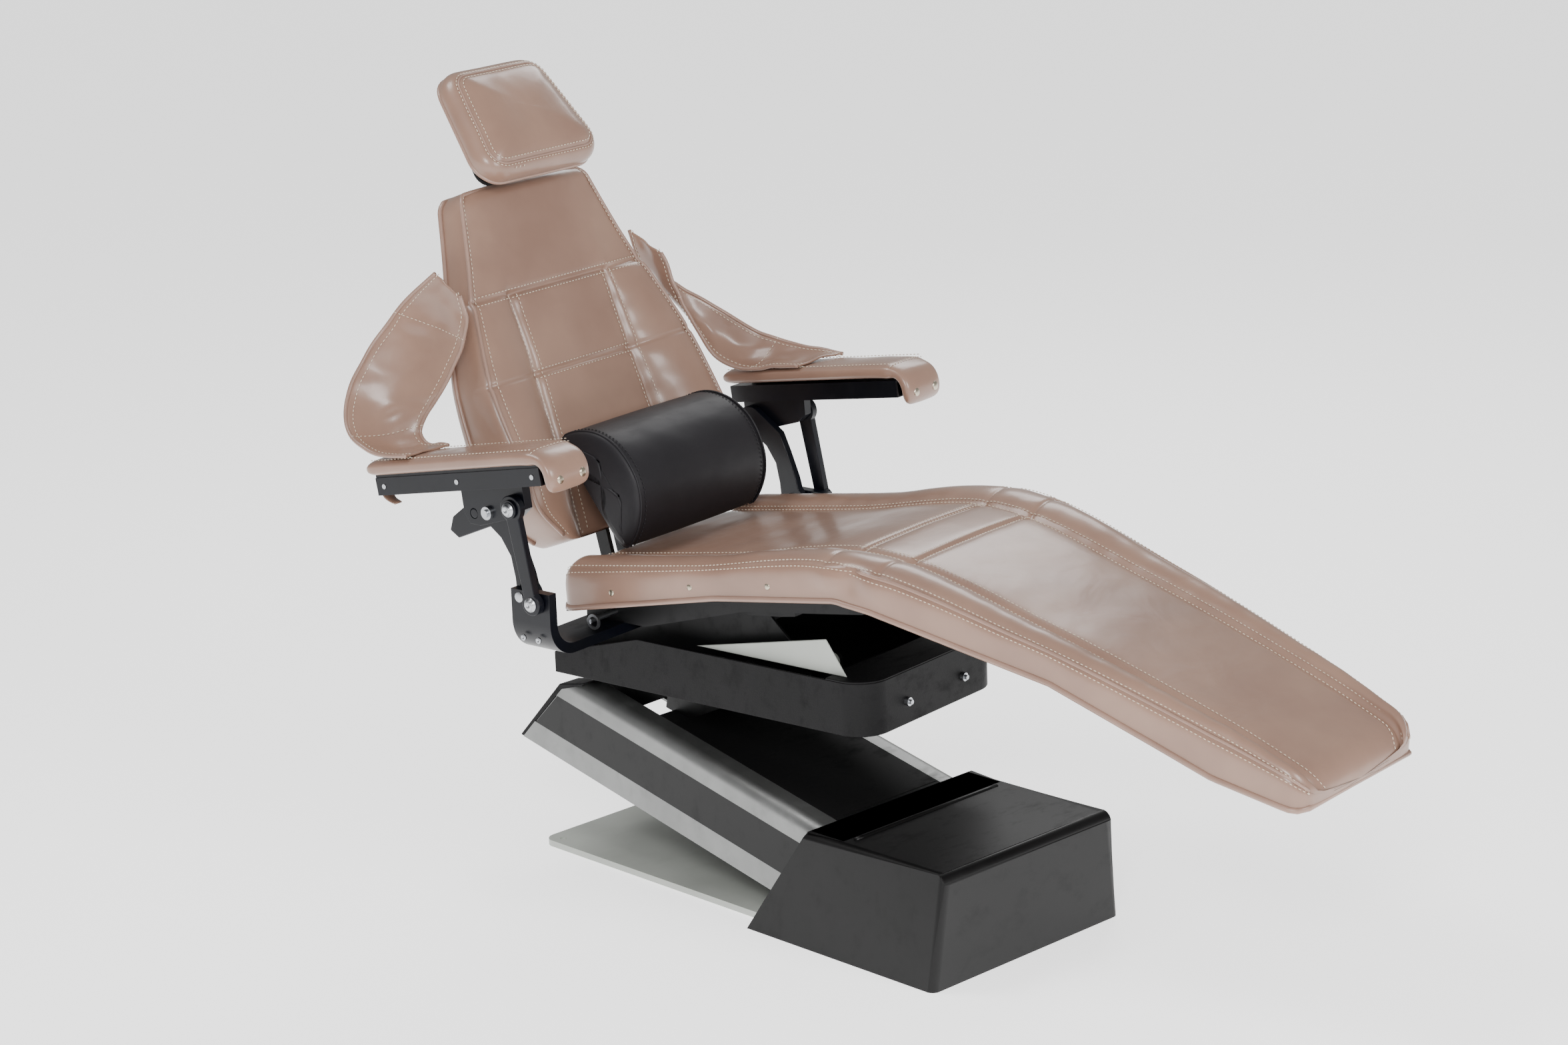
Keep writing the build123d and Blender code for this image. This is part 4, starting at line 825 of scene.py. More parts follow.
@dataclass
class ArmApron:
    """Curved apron about the arm's front pivot that closes the cover's slot as the arm moves."""

    radius: float = 65.0
    thickness: float = 2.5
    half_width: float = 148.0
    sweep: tuple = (58, 118)
    strip_half: float = 108.0
    strip_height: tuple = (45.2, 47.6)
    strip_run: tuple = (72, 119.6)

    def build(self) -> None:
        """Sweeps the apron about the front pivot and puts it on the arm."""
        rings = []
        for a in np.linspace(radians(self.sweep[0]), radians(self.sweep[1]), 16):
            inner, outer = self.radius - self.thickness, self.radius
            rings.append([(x, self.pivot(r, a)[0], self.pivot(r, a)[1])
                          for x, r in ((-self.half_width, inner), (self.half_width, inner),
                                       (self.half_width, outer), (-self.half_width, outer))])
        apron = lofted("arm_apron", rings, Matrix.Scale(MM, 4))
        shade(apron, False)
        WARDROBE.finish_piece(apron, "black_matte_plastic", "lift_arm")
        half, (low, high) = self.strip_half, self.strip_height
        front = [[(x, y, z) for x, z in ((-half, low), (half, low), (half, high), (-half, high))]
                 for y in np.linspace(*self.strip_run, 6)]
        strip = lofted("arm_top_strip", front, along_arm())
        shade(strip, False)
        WARDROBE.finish_piece(strip, "black_matte_plastic", "lift_arm")

    @staticmethod
    def pivot(r: float, a: float) -> tuple[float, float]:
        """A place at a radius and angle about the front pivot, as Y and Z."""
        return ARM_PIVOT[1] + r * cos(a), ARM_PIVOT[2] + r * sin(a)


@dataclass
class BaseCover:
    """Glossy moulded cover of the base: sloping sides, soft corners, low wings to the rear."""

    height: float = 171.0
    slot: float = -244.0
    edge: float = 12.0
    lip_half: float = 150.0
    lip_radius: float = 5.0

    def build(self) -> None:
        """Rounds a copy of the CAD cover generously and gives it its gloss."""
        lip = [(x, self.slot - 7, self.height - 2)
               for x in np.linspace(-self.lip_half, self.lip_half, 20)]
        WARDROBE.finish_piece(tube("base_cover_rear_lip", lip, self.lip_radius, Matrix.Scale(MM, 4),
                                   sides=16),
                              "black_gloss_plastic", "base")
        cover = softened("base_cover", self.edge, 20.0, large=0.03)
        cover.name = "base_cover_moulding"
        WARDROBE.finish_piece(cover, "black_gloss_plastic", "base", ["base_cover"])


# ==== Seat ========================================================================================
@dataclass
class SeatCushion:
    """Seat and leg cushion: a sunken middle between bolsters, with seams across at the knee."""

    top: tuple = ((-1190, 382), (-1055, 438), (-767, 533), (-490, 600), (-208, 554), (55, 514))
    under: tuple = ((-1174, 338), (-1054, 368), (-982, 398), (-812, 467), (-529, 533), (-474, 541),
                    (-252, 509), (54, 443))
    width: tuple = ((-1190, 150), (-800, 199), (-490, 238), (55, 238))
    inner: tuple = ((-1190, 123), (-543, 147), (-456, 152), (55, 160))
    cross_seams: tuple = (-456.0, -543.0)
    end_round: float = 30.0
    snaps: tuple = (-52.0, -205.0, -352.0)
    bend: float = -500.0
    # places in half(), counted from the middle of the top
    SEW_INSIDE, SEW_OUTSIDE, SHOULDER, WELT, SIDE_TOP, SIDE, SIDE_FOOT = 4, 9, 15, 16, 17, 18, 22

    def levels(self, y: float) -> tuple[float, float, float, float]:
        """Reads the section's sizes.

        Args:
            y: place along the seat.

        Returns:
            Top, underside, half-width and seam half-width.
        """
        depth = min(y - TOE, SEAT_REAR - y)
        draw = rounding(max(depth, 0.0), self.end_round)
        high = along(self.top, y) - draw
        low = straight(self.under, y) + 0.6
        wide = straight(self.width, y) - 0.9 * draw
        seam = straight(self.inner, y) * wide / (wide + 0.9 * draw)
        return high, max(low, low + 0.2 * draw), wide, seam

    def half(self, y: float) -> list[tuple[float, float]]:
        """Right half of the section, from its middle over the top to the underside.

        Args:
            y: place along the seat.

        Returns:
            (across, height) points.
        """
        high, low, wide, seam = self.levels(y)
        band = wide - seam
        thick = high - low
        cross = max(bump(y, at, 5.0) for at in self.cross_seams)
        puff = 1 - 0.5 * max(bump(y, at, 26.0) for at in self.cross_seams)
        knee = 2.6 * bump(y, -503.0, 9.0) - 2.0 * bump(y, -462.0, 26.0) - 1.4 * bump(y, -540.0,
                                                                                     20.0)
        rows = [(0, -9), (0.25 * seam, -9.2), (0.5 * seam, -9.6), (0.75 * seam, -10.4),
                (seam - 16, -12),
                (seam - 7, -14.5), (seam - 2.5, -18), (seam, -20.5), (seam + 2.5, -18),
                (seam + 7, -12),
                (seam + 0.22 * band, -5.5), (seam + 0.4 * band, -1.2), (seam + 0.56 * band, 0),
                (seam + 0.7 * band, -1.4), (seam + 0.82 * band, -4.6), (seam + 0.91 * band, -9.5)]
        line = [(x, high + z - (5 * cross if x < seam
                                else 2.5 * cross) - (3 * puff - 3) * (x < seam) * 0.5)
                for x, z in rows]
        line += [(wide - 3.5 - 2 * knee, high - 0.22 * thick),
                 (wide - 2.6 - 2 * knee, high - 0.26 * thick),
                 (wide - 0.5 - 2.5 * knee, high - 0.33 * thick),
                 (wide + 0.8 - 3 * knee, high - 0.46 * thick),
                 (wide + 0.8 - 3 * knee, high - 0.6 * thick),
                 (wide - 1.5 * knee, high - 0.74 * thick),
                 (wide - 0.5, low + 0.12 * thick), (wide - 0.8, low - 5), (wide - 3, low - 9.5),
                 (wide - 6.5, low - 9.5), (wide - 8.5, low - 7), (wide - 9, self.rest(y, low)),
                 (wide * 0.5, self.rest(y, low)), (0, self.rest(y, low))]
        return line

    def rest(self, y: float, low: float) -> float:
        """Height of the underside's middle: on the board, and lower past the board's ends."""
        return low if TOE + 27 < y < SEAT_REAR - 4 else low - 9.5

    def ring(self, y: float) -> list[Point]:
        """The whole closed section.

        Args:
            y: place along the seat.

        Returns:
            Its points, square to the swivel axis.
        """
        half = self.half(y)
        _, _, _, seam = self.levels(y)
        out: list[Point] = []
        for sign in (1, -1):
            run = half if sign == 1 else half[-2:0:-1]
            for x, z in run:
                here = sign * x
                slack = 0.0
                if z > half[self.SIDE_FOOT][1] + 14:
                    pull = bump(x, seam + 14, 16) * 0.7 * np.sin(y / 7.3 + 3 * sign)
                    side_fold = bump(x, half[self.SIDE][0], 8) * 1.1 * np.sin(y / 19.0 + sign)
                    slack = wrinkle(here, y, 3.0, 1.5) + pull + side_fold
                out.append((here, y, z + slack))
        return out

    def build(self) -> None:
        """Makes the cushion, its piping, stitches and press studs."""
        places = [TOE, TOE + 2, TOE + 6, TOE + 12, TOE + 20]
        places += list(np.linspace(TOE + 32, SEAT_REAR - 28, 96))
        for at in self.cross_seams:
            places += [at - 5, at - 2, at, at + 2, at + 5]
        places += [SEAT_REAR - 20, SEAT_REAR - 12, SEAT_REAR - 6, SEAT_REAR - 2, SEAT_REAR]
        places = sorted(places)
        cushion = lofted("seat_upholstery", [self.ring(y) for y in places], upper())
        smoother(cushion)
        WARDROBE.finish_piece(cushion, "taupe_vinyl", "upper", ["seat_cushion"])
        run = np.linspace(TOE + 3, SEAT_REAR - 3, 120)
        edge = [(self.levels(y)[2] - 1.0, y, self.levels(y)[1] - 5.0) for y in run]
        loop = edge + [(-x, y, z) for x, y, z in reversed(edge)]
        piping = tube("seat_piping", loop, 4.2, upper(), closed=True)
        WARDROBE.finish_piece(piping, "piping_vinyl", "upper")
        welts = []
        for sign in (1, -1):
            leg = [y for y in run if y < self.bend]
            spots = [(y, *self.half(y)[self.WELT]) for y in leg]
            welts.append([(sign * (x + 1.2), y, z) for y, x, z in spots])
        for word, welt in zip(("left", "right"), welts):
            WARDROBE.finish_piece(tube(f"leg_welt_{word}", welt, 2.6, upper()), "piping_vinyl",
                                  "upper")
        self.sew(run)

    def sew(self, run: np.ndarray) -> None:
        """Sews the double rows along the inner seams, round the bolsters and across the knee.

        Args:
            run: places along the seat.
        """
        rows = []
        for sign in (1, -1):
            seat = [y for y in run if y > self.bend]
            leg = [y for y in run if y <= self.bend + 5]
            for k, out, lift, part in ((self.SEW_INSIDE, 0, 1.4, run),
                                       (self.SEW_OUTSIDE, 0, 1.4, run),
                                       (self.SHOULDER, 1.5, 1.6, run),
                                       (self.SIDE_TOP, 1.6, 0, seat),
                                       (self.SIDE, 1.6, 0, leg)):
                spots = [(y, *self.half(y)[k]) for y in part]
                rows.append(np.array([(sign * (x + out), y, z + lift) for y, x, z in spots]))
        for at in self.cross_seams:
            for step in (-7.0, 7.0):
                half = self.half(at + step)[:5]
                line = [(-x, at + step, z + 1.2) for x, z in reversed(half)]
                line += [(x, at + step, z + 1.2) for x, z in half[1:]]
                rows.append(smooth_line(line, 60))
        stitch_row("seat_stitches", rows, upper(), "upper")
        snap = turned_fitting("snap", [(5.0, 0), (5.0, 0.6), (4.2, 1.4), (2.2, 1.9), (0.5, 2.0)])
        spots = []
        for sign in (1, -1):
            for y in self.snaps:
                wide, low = self.levels(y)[2], self.levels(y)[1]
                spots.append(((sign * (wide - 0.6), y, low + 15), (sign * 1.0, 0.0, 0.1)))
        studs("seat_snaps", snap, spots, upper(), "nickel_brass", "upper")


# ==== Back ========================================================================================
@dataclass
class BackCushion:
    """Back cushion: a plain top panel over a sunken middle between two thick side bolsters."""

    width: tuple = ((-10, 166), (10, 186), (60, 236), (120, 245), (200, 243), (256, 236),
                    (300, 224),
                    (380, 197), (440, 174), (520, 148), (548, 140))
    seam: tuple = ((-10, 128), (60, 121), (144, 117), (250, 111.5), (379, 111), (548, 111))
    crown: tuple = ((-10, 2), (30, 16), (70, 35), (98, 40), (150, 31), (206, 21), (260, 12),
                    (300, 6),
                    (379, -6), (440, -12), (548, -14))
    cross_seams: tuple = (249.0, 379.0)
    rear: float = -74.0
    foot: float = -10.0
    top: float = 548.0
    end_round: float = 22.0
    # places in half(), counted from the middle of the front
    SEW_INSIDE, SEW_OUTSIDE, SHOULDER, FRONT_EDGE = 4, 9, 14, 15
    SIDE_TOP, REAR_EDGE, SIDE_END = 16, 20, 22

    def levels(self, w: float) -> tuple[float, float, float, float]:
        """Reads the section's sizes.

        Args:
            w: place up the back.

        Returns:
            Half-width, seam half-width, bolster height and draw-in.
        """
        draw = rounding(max(self.top - w, 0.0), self.end_round)
        draw += 0.6 * rounding(max(w - self.foot, 0.0), self.end_round)
        wide = along(self.width, w) - draw
        return wide, straight(self.seam, w), along(self.crown, w), draw

    def half(self, w: float) -> list[tuple[float, float]]:
        """Right half of the section, from the middle of the front round to that of the rear.

        Args:
            w: place up the back.

        Returns:
            (across, out of the face) points.
        """
        wide, seam, crown, draw = self.levels(w)
        lower = 1 / (1 + np.exp((w - 377) / 4.0))
        lower_seam, upper_seam = self.cross_seams
        cut = 4.5 * bump(w, lower_seam, 5) + 6 * bump(w, upper_seam, 5)
        seam = min(seam, wide - 30)
        band = wide - seam
        middle = -6.0 - 0.55 * draw - 5 * (1 - bump(w, 190, 260))
        rows = []
        for k in (0, 0.25, 0.5, 0.75, 0.88, 0.95, 0.98, 1.0):
            x = k * seam
            plain = middle + 2.5 - 9 * (x / wide) ** 3
            groove = {0.88: -1.5, 0.95: -4.0, 0.98: -7.5, 1.0: -10.0}.get(k, 0.0)
            rows.append((x, lower * (middle + groove) + (1 - lower) * plain - cut))
        rise = ((0.02, -7.5, 0.0), (0.07, -1.5, 0.16), (0.2, 0, 0.5), (0.36, 1, 0.8),
                (0.54, 1.5, 0.97),
                (0.72, 1.2, 1.0), (0.86, -0.5, 0.94), (0.94, -4.0, 0.84))
        for k, lift, share in rise:
            x = seam + k * band
            plain = middle + 2.5 - 9 * (x / wide) ** 3 - 5 * max(k - 0.8, 0) * 5 * 0.6
            full = middle + (crown - middle) * share + lift
            rows.append((x, lower * full + (1 - lower) * plain - 0.6 * cut))
        front = rows[-1][1]
        rear = self.rear + 0.5 * draw
        for k, out in ((0.05, -2.4), (0.14, 0.2), (0.35, 1.6), (0.6, 1.2), (0.82, 0), (0.95, -1)):
            rows.append((wide + out, front + (rear - front) * k))
        inside = -47.0 if w < 542 else rear + 2
        rows += [(wide - 4, rear - 0.5), (wide - 7.6, rear + 1), (wide - 8.6, min(inside, -47) - 3),
                 (wide - 9.4, inside), (0.6 * wide, inside), (0.3 * wide, inside), (0, inside)]
        return rows

    def ring(self, w: float) -> list[Point]:
        """The whole closed section.

        Args:
            w: place up the back.

        Returns:
            Its points in the cushion's frame.
        """
        half = self.half(w)
        seam = self.levels(w)[1]
        out: list[Point] = []
        for sign in (1, -1):
            run = list(enumerate(half)) if sign == 1 else list(enumerate(half))[-2:0:-1]
            for k, (x, n) in run:
                slack = 0.0
                if k < self.SIDE_END:
                    pull = bump(x, seam + 14, 16) * 0.8 * np.sin(w / 6.1 + 2 * sign)
                    fold = 1.4 * bump(w, self.cross_seams[1],
                                      40) * np.sin((x + 12 * sign) / 8.5) * bump(x, seam * 0.7, 70)
                    slack = wrinkle(sign * x, w, 11.0, 1.6) + pull + fold
                out.append((sign * x, w, n + slack if k < self.SIDE_TOP else n))
                if self.SIDE_TOP <= k < self.SIDE_END:
                    out[-1] = (sign * (x + slack * 0.6), w, n)
        return out

    def build(self) -> None:
        """Makes the cushion with its piping and stitches."""
        places = [-10, -8, -4, 2, 10] + list(np.linspace(20, 520, 50)) + [527, 533, 538, 541, 543,
                                                                          546, 547.5, 548]
        for at in self.cross_seams:
            places += [at - 5, at - 2, at, at + 2, at + 5]
        frame_of = leaning(BACK_FOOT, BACK_LEAN)
        cushion = lofted("back_upholstery", [self.ring(w) for w in sorted(places)], frame_of)
        smoother(cushion)
        WARDROBE.finish_piece(cushion, "taupe_vinyl", "back", ["back_cushion"])
        run = np.linspace(4, 543, 110)
        for word, k, out, lift, radius in (("front", self.FRONT_EDGE, 0.5, 1.5, 3.2),
                                           ("rear", self.REAR_EDGE, 1.0, 0.0, 4.0)):
            right = [(self.half(w)[k][0] + out, w, self.half(w)[k][1] + lift) for w in run]
            x, w, n = right[-1]
            top = [(x * cos(t), w + 3.5 * sin(t), n) for t in np.linspace(0.15, pi - 0.15, 24)]
            loop = right + top + [(-x, w, n) for x, w, n in reversed(right)]
            piping = tube(f"back_piping_{word}", loop, radius, frame_of)
            WARDROBE.finish_piece(piping, "piping_vinyl", "back")
        rows = []
        for sign in (1, -1):
            low = [w for w in run if w < 376]
            for k, part in ((self.SEW_INSIDE, low), (self.SEW_OUTSIDE, low), (self.SHOULDER, run)):
                spots = [(w, *self.half(w)[k]) for w in part]
                rows.append(np.array([(sign * x, w, n + 1.6) for w, x, n in spots]))
        for at, last in zip(self.cross_seams, (7, 15)):
            for step in (-6.5, 6.5):
                half = self.half(at + step)[:last]
                line = [(-x, at + step, n + 1.5) for x, n in reversed(half)]
                line += [(x, at + step, n + 1.5) for x, n in half[1:]]
                rows.append(smooth_line(line, 70))
        stitch_row("back_stitches", rows, frame_of, "back")


# ==== Headrest ====================================================================================
@dataclass
class Headrest:
    """Trapezoid headrest pad: crowned face, boxed sides, piping round the face."""

    low_half: float = 136.0
    top_half: float = 104.0
    height: float = 190.0
    corner: float = 40.0

    def ring(self, inset: float, n: float, count: int = 96) -> list[Point]:
        """One outline of the pad, with slack in it.

        Args:
            inset: distance inside the pad's edge.
            n: height out of the face.
            count: number of points.

        Returns:
            Its points in the headrest's frame.
        """
        corners = ((-self.low_half, 0), (self.low_half, 0), (self.top_half, self.height),
                   (-self.top_half, self.height))
        line = rounded_outline(corners, self.corner, inset, count)
        return [(x, w, n + (wrinkle(x, w, 23.0, 1.2) if n > -40 else 0.0)) for x, w in line]

    def build(self) -> None:
        """Makes the pad, its piping and its stitch rows."""
        place = leaning(HEAD_FOOT, HEAD_LEAN)
        layers = ((12, -49.8), (4, -49.4), (1, -47), (-0.5, -42), (-1.5, -36), (-2, -30), (-1, -24),
                  (2.5, -17.5),
                  (7.5, -12.5), (12.5, -9.6), (15.2, -9.8), (18, -7.2), (24, -3.2), (33, 1.2),
                  (46, 5.2),
                  (62, 8.0), (76, 9.2), (88, 9.6))
        pad = lofted("headrest_upholstery", [self.ring(i, n) for i, n in layers], place)
        smoother(pad)
        WARDROBE.finish_piece(pad, "taupe_vinyl", "headrest", ["headrest_pad"])
        piping = tube("headrest_piping", self.ring(15.2, -9.4, 110), 1.9, place, closed=True)
        WARDROBE.finish_piece(piping, "piping_vinyl", "headrest")
        rear = tube("headrest_rear_piping", self.ring(0.5, -41.5, 110), 3.4, place, closed=True)
        WARDROBE.finish_piece(rear, "piping_vinyl", "headrest")
        rows = [np.array(self.ring(21.0, -4.2, 130)), np.array(self.ring(11.0, -9.2, 130))]
        rows = [np.vstack([row, row[:1]]) for row in rows]
        for x in (-76.0, -67.0, -58.0):
            rows.append(np.array([(x, 6.0 - k * 0.9, -12.0 - 3.6 * k) for k in range(8)]))
        stitch_row("headrest_stitches", rows, place, "headrest")


# ==== Lumbar roll =================================================================================
@dataclass
class LumbarRoll:
    """Loose half-round roll in charcoal vinyl, laid against the foot of the back."""

    radius: float = 101.0
    tilt: float = 52.4
    centre: Point = (0.0, 60.0, 594.0)
    arc_points: int = 40

    def outline(self, x: float, inset: float, swell: float = 0.0) -> list[Point]:
        """The D section of the roll.

        Args:
            x: place along the roll.
            inset: how far it is drawn in.
            swell: how far the round side stands out.

        Returns:
            Its points, square to the swivel axis.
        """
        c, s = cos(radians(self.tilt)), sin(radians(self.tilt))
        line = []
        r = self.radius - inset + swell
        for a in np.linspace(0.1, pi - 0.1, self.arc_points):
            line.append((r * cos(a), r * sin(a)))
        flat = inset * 0.9
        line[0] = (r - 3, max(line[0][1], 9 + flat))
        line[-1] = (-r + 3, line[0][1])
        for k in np.linspace(-1, 1, 17):
            line.append((k * (r - 7), flat + 2.0 - 2.0 * (1 - k * k) + 3.5 * (abs(k) > 0.97)))
        out = []
        for a, b in line:
            slack = wrinkle(x, a * 1.5, 41.0, 1.3) * min(max((b - 25) / 50, 0.0), 1.0)
            k = 1 + slack / 100
            out.append((x, self.centre[1] + (a * c - b * s) * k,
                        self.centre[2] + (a * s + b * c) * k))
        return out

    def build(self) -> None:
        """Makes the roll, its end piping and stitches."""
        ends = ((-157.5, 66), (-157.5, 45), (-156.5, 22), (-154.5, 8), (-151, 1.5), (-148, 0.8),
                (-145, 2.6),
                (-142, 0.8), (-136, 0))
        rings = [self.outline(x, inset) for x, inset in ends]
        rings += [self.outline(x, 0, 1.0 - (x / 140) ** 2) for x in np.linspace(-124, 124, 23)]
        rings += [self.outline(-x, inset) for x, inset in reversed(ends)]
        roll = lofted("lumbar_roll_upholstery", rings, upper())
        smoother(roll)
        WARDROBE.finish_piece(roll, "charcoal_vinyl", "lumbar_roll", ["lumbar_roll"])
        for side in Side:
            piping = tube(f"roll_piping_{side.word}", self.outline(side.value * 147.5, 0.6), 1.8,
                          upper(),
                          closed=True)
            WARDROBE.finish_piece(piping, "charcoal_vinyl", "lumbar_roll")
        rows = [np.array(self.outline(x, -0.6)[:self.arc_points]) for x in (-138.0, 138.0)]
        stitch_row("roll_stitches", rows, upper(), "lumbar_roll", "dark_thread")


# ==== Armrests ====================================================================================
@dataclass
class Armrest:
    """One armrest: the padded cover on its rail, and the leather sling between it and the back."""

    side: Side
    middle: tuple[float, float]
    slope: float
    sling: tuple
    front: float = -208.0
    rear: float = 176.0
    half_width: float = 47.0
    rail_x: float = 345.0
    steps: int = 64
    across: int = 13
    on_back: int = 6
    on_arm: int = 48

    def rail(self) -> Matrix:
        """Frame of the rail: X away from the seat, Y along it to the rear, Z out of its top."""
        c, s = cos(radians(self.slope)), sin(radians(self.slope))
        basis = Matrix(((self.side.value, 0, 0, self.side.value * self.rail_x),
                        (0, c, -s, self.middle[0]),
                        (0, s, c, self.middle[1]), (0, 0, 0, 1)))
        return upper() @ basis

    def cover_ring(self, at: Point, ahead: Point, width: float, thick: float,
                   seed: float) -> list[Point]:
        """One section of the cover, square to its path.

        Args:
            at: the section's middle.
            ahead: the next section's middle.
            width: half its width.
            thick: half its thickness.
            seed: picks the pattern of wrinkles.

        Returns:
            Its points in the rail's frame.
        """
        way = np.array((0.0, ahead[1] - at[1], ahead[2] - at[2]))
        way /= np.linalg.norm(way)
        out = np.array((0.0, way[2], -way[1]))
        ring = []
        for a in np.linspace(0, 2 * pi, 44, endpoint=False):
            c, s = cos(a), sin(a)
            x = width * abs(c) ** 0.42 * (1 if c >= 0 else -1)
            n = thick * abs(s) ** 0.62 * (1 if s >= 0 else -1)
            n += (2.2 * (1 - (x / width) ** 2) if s > 0 else 0.0) + wrinkle(x, at[1] * 1.2, seed,
                                                                            1.1) * (s > 0)
            ring.append((x, at[1] + out[1] * n, at[2] + out[2] * n))
        return ring

    def build(self) -> None:
        """Makes the cover with its stitches and snaps, then the sling."""
        place = self.rail()
        path = smooth_line([(0, self.rear, 29), (0, 80, 29.5), (0, -60, 30), (0, -150, 29.5),
                            (0, -182, 24),
                            (0, -194, 8), (0, -195, -12), (0, -194, -25)], 54)
        seed = 60.0 + self.side.value
        rings = []
        for k in range(len(path)):
            ahead = path[k + 1] if k + 1 < len(path) else 2 * path[k] - path[k - 1]
            end = min(k, len(path) - 1 - k)
            draw = rounding(end * 4.0, 12.0)
            thick = (11.5 if path[k][1] > -170 else 9.0) - 0.7 * draw
            drop = 1.0 if path[k][1] > -170 else 0.94
            rings.append(self.cover_ring(path[k], ahead, self.half_width * drop - draw * 0.6, thick,
                                         seed))
        cover = lofted(f"arm_cover_{self.side.word}", rings, place)
        smoother(cover)
        body = f"armrest_{self.side.word}"
        WARDROBE.finish_piece(cover, "taupe_vinyl", body, [f"arm_pad_{self.side.word}"])
        rows = []
        for x in (-39.0, 39.0):
            rows.append(np.array([(x, y, 42.2) for y in np.linspace(-168, 160, 60)]))
        rows.append(np.array([(x, -172.0, 41.0 - (x / 47) ** 4 * 6)
                              for x in np.linspace(-40, 40, 24)]))
        stitch_row(f"arm_cover_stitches_{self.side.word}", rows, place, body)
        tag = [[(x * (1 - 0.3 * t), 166 - 14 * t + 4 * sin(t * 3), -13.9 - 17 * t ** 0.8 + e)
                for x, e in ((14, 0), (24, 0), (26, 1.2), (24, 2.6), (14, 3.0), (4, 2.6), (2, 1.2),
                             (4, 0))]
               for t in np.linspace(0, 1, 9)]
        WARDROBE.finish_piece(lofted(f"arm_tag_{self.side.word}", tag, place), "taupe_vinyl", body)
        snap = turned_fitting("snap", [(7.0, 0), (7.0, 0.8), (5.8, 1.8), (3.0, 2.5), (0.6, 2.7)])
        spots = [((x, -204.0, -6.0), (0.0, -1.0, 0.0)) for x in (-24.0, 24.0)]
        studs(f"arm_cover_snaps_{self.side.word}", snap, spots, place, "nickel_brass", body)
        self.hang()

    def hang(self) -> None:
        """Makes the sling as one thick leather sheet from the back to the armrest.
        """
        last, n, mid = self.steps - 1, self.across, self.across // 2
        inner = smooth_line([p[0] for p in self.sling], self.steps)
        outer = smooth_line([p[1] for p in self.sling], self.steps)
        grid = []
        for k in range(self.steps):
            a, b = inner[k], outer[k]
            nxt = min(k + 1, last)
            way = (inner[nxt] + outer[nxt]) - (inner[max(k - 1, 0)] + outer[max(k - 1, 0)])
            normal = np.cross(b - a, way)
            normal /= np.linalg.norm(normal)
            if normal[2] > 0:
                normal = -normal
            sag = 15.0 * np.sin(pi * k / last)
            row = []
            for t in np.linspace(0, 1, n):
                slack = 4.0 * noise.noise(Vector((t * 2.0 + k / 14.0, k / 7.0,
                                                  5.0 + self.side.value)))
                slack += 2.2 * noise.noise(Vector((t * 4.5 - k / 9.0, k / 4.0,
                                                   9.0))) * np.sin(pi * t)
                row.append(a + (b - a) * t + normal * (sag * np.sin(pi * t) + slack))
            grid.append(row)
        verts = [tuple(p) for row in grid for p in row]
        faces = [(r * n + i, r * n + i + 1, (r + 1) * n + i + 1, (r + 1) * n + i)
                 for r in range(last) for i in range(n - 1)]
        sling = piece_from(f"sling_{self.side.word}", verts, faces, upper())
        thick = sling.modifiers.new("hide", "SOLIDIFY")
        thick.thickness = 4.0 * MM
        thick.offset = 0.0
        smoother(sling)
        WARDROBE.dress(sling, "taupe_vinyl")
        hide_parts(f"arm_sling_{self.side.word}")
        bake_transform(sling)
        for word, i in (("inner", 0), ("outer", n - 1)):
            edge = tube(f"sling_edge_{word}_{self.side.word}", [row[i] for row in grid], 3.2,
                        upper())
            WARDROBE.dress(edge, "piping_vinyl")
            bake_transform(edge)
        rows = []
        for lift in (2.6, -2.6):
            for i in (1, n - 2):
                rows.append(np.array([grid[k][i] + self.facing(grid, k, i) * lift
                                      for k in range(self.steps)]))
            for k in (14, 46):
                rows.append(np.array([grid[k][i] + self.facing(grid, k, i) * lift
                                      for i in range(n)]))
        sewn = stitch_row(f"sling_stitches_{self.side.word}", rows, upper(), "")
        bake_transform(sewn)

    @staticmethod
    def facing(grid: list, k: int, i: int) -> np.ndarray:
        """The sling's facing at a grid point.

        Args:
            grid: rows of points from the back to the armrest.
            k: the row.
            i: the place across it.

        Returns:
            Unit vector square to the sheet.
        """
        a, b = grid[max(k - 1, 0)][i], grid[min(k + 1, len(grid) - 1)][i]
        c, d = grid[k][max(i - 1, 0)], grid[k][min(i + 1, len(grid[k]) - 1)]
        normal = np.cross(b - a, d - c)
        return normal / np.linalg.norm(normal)


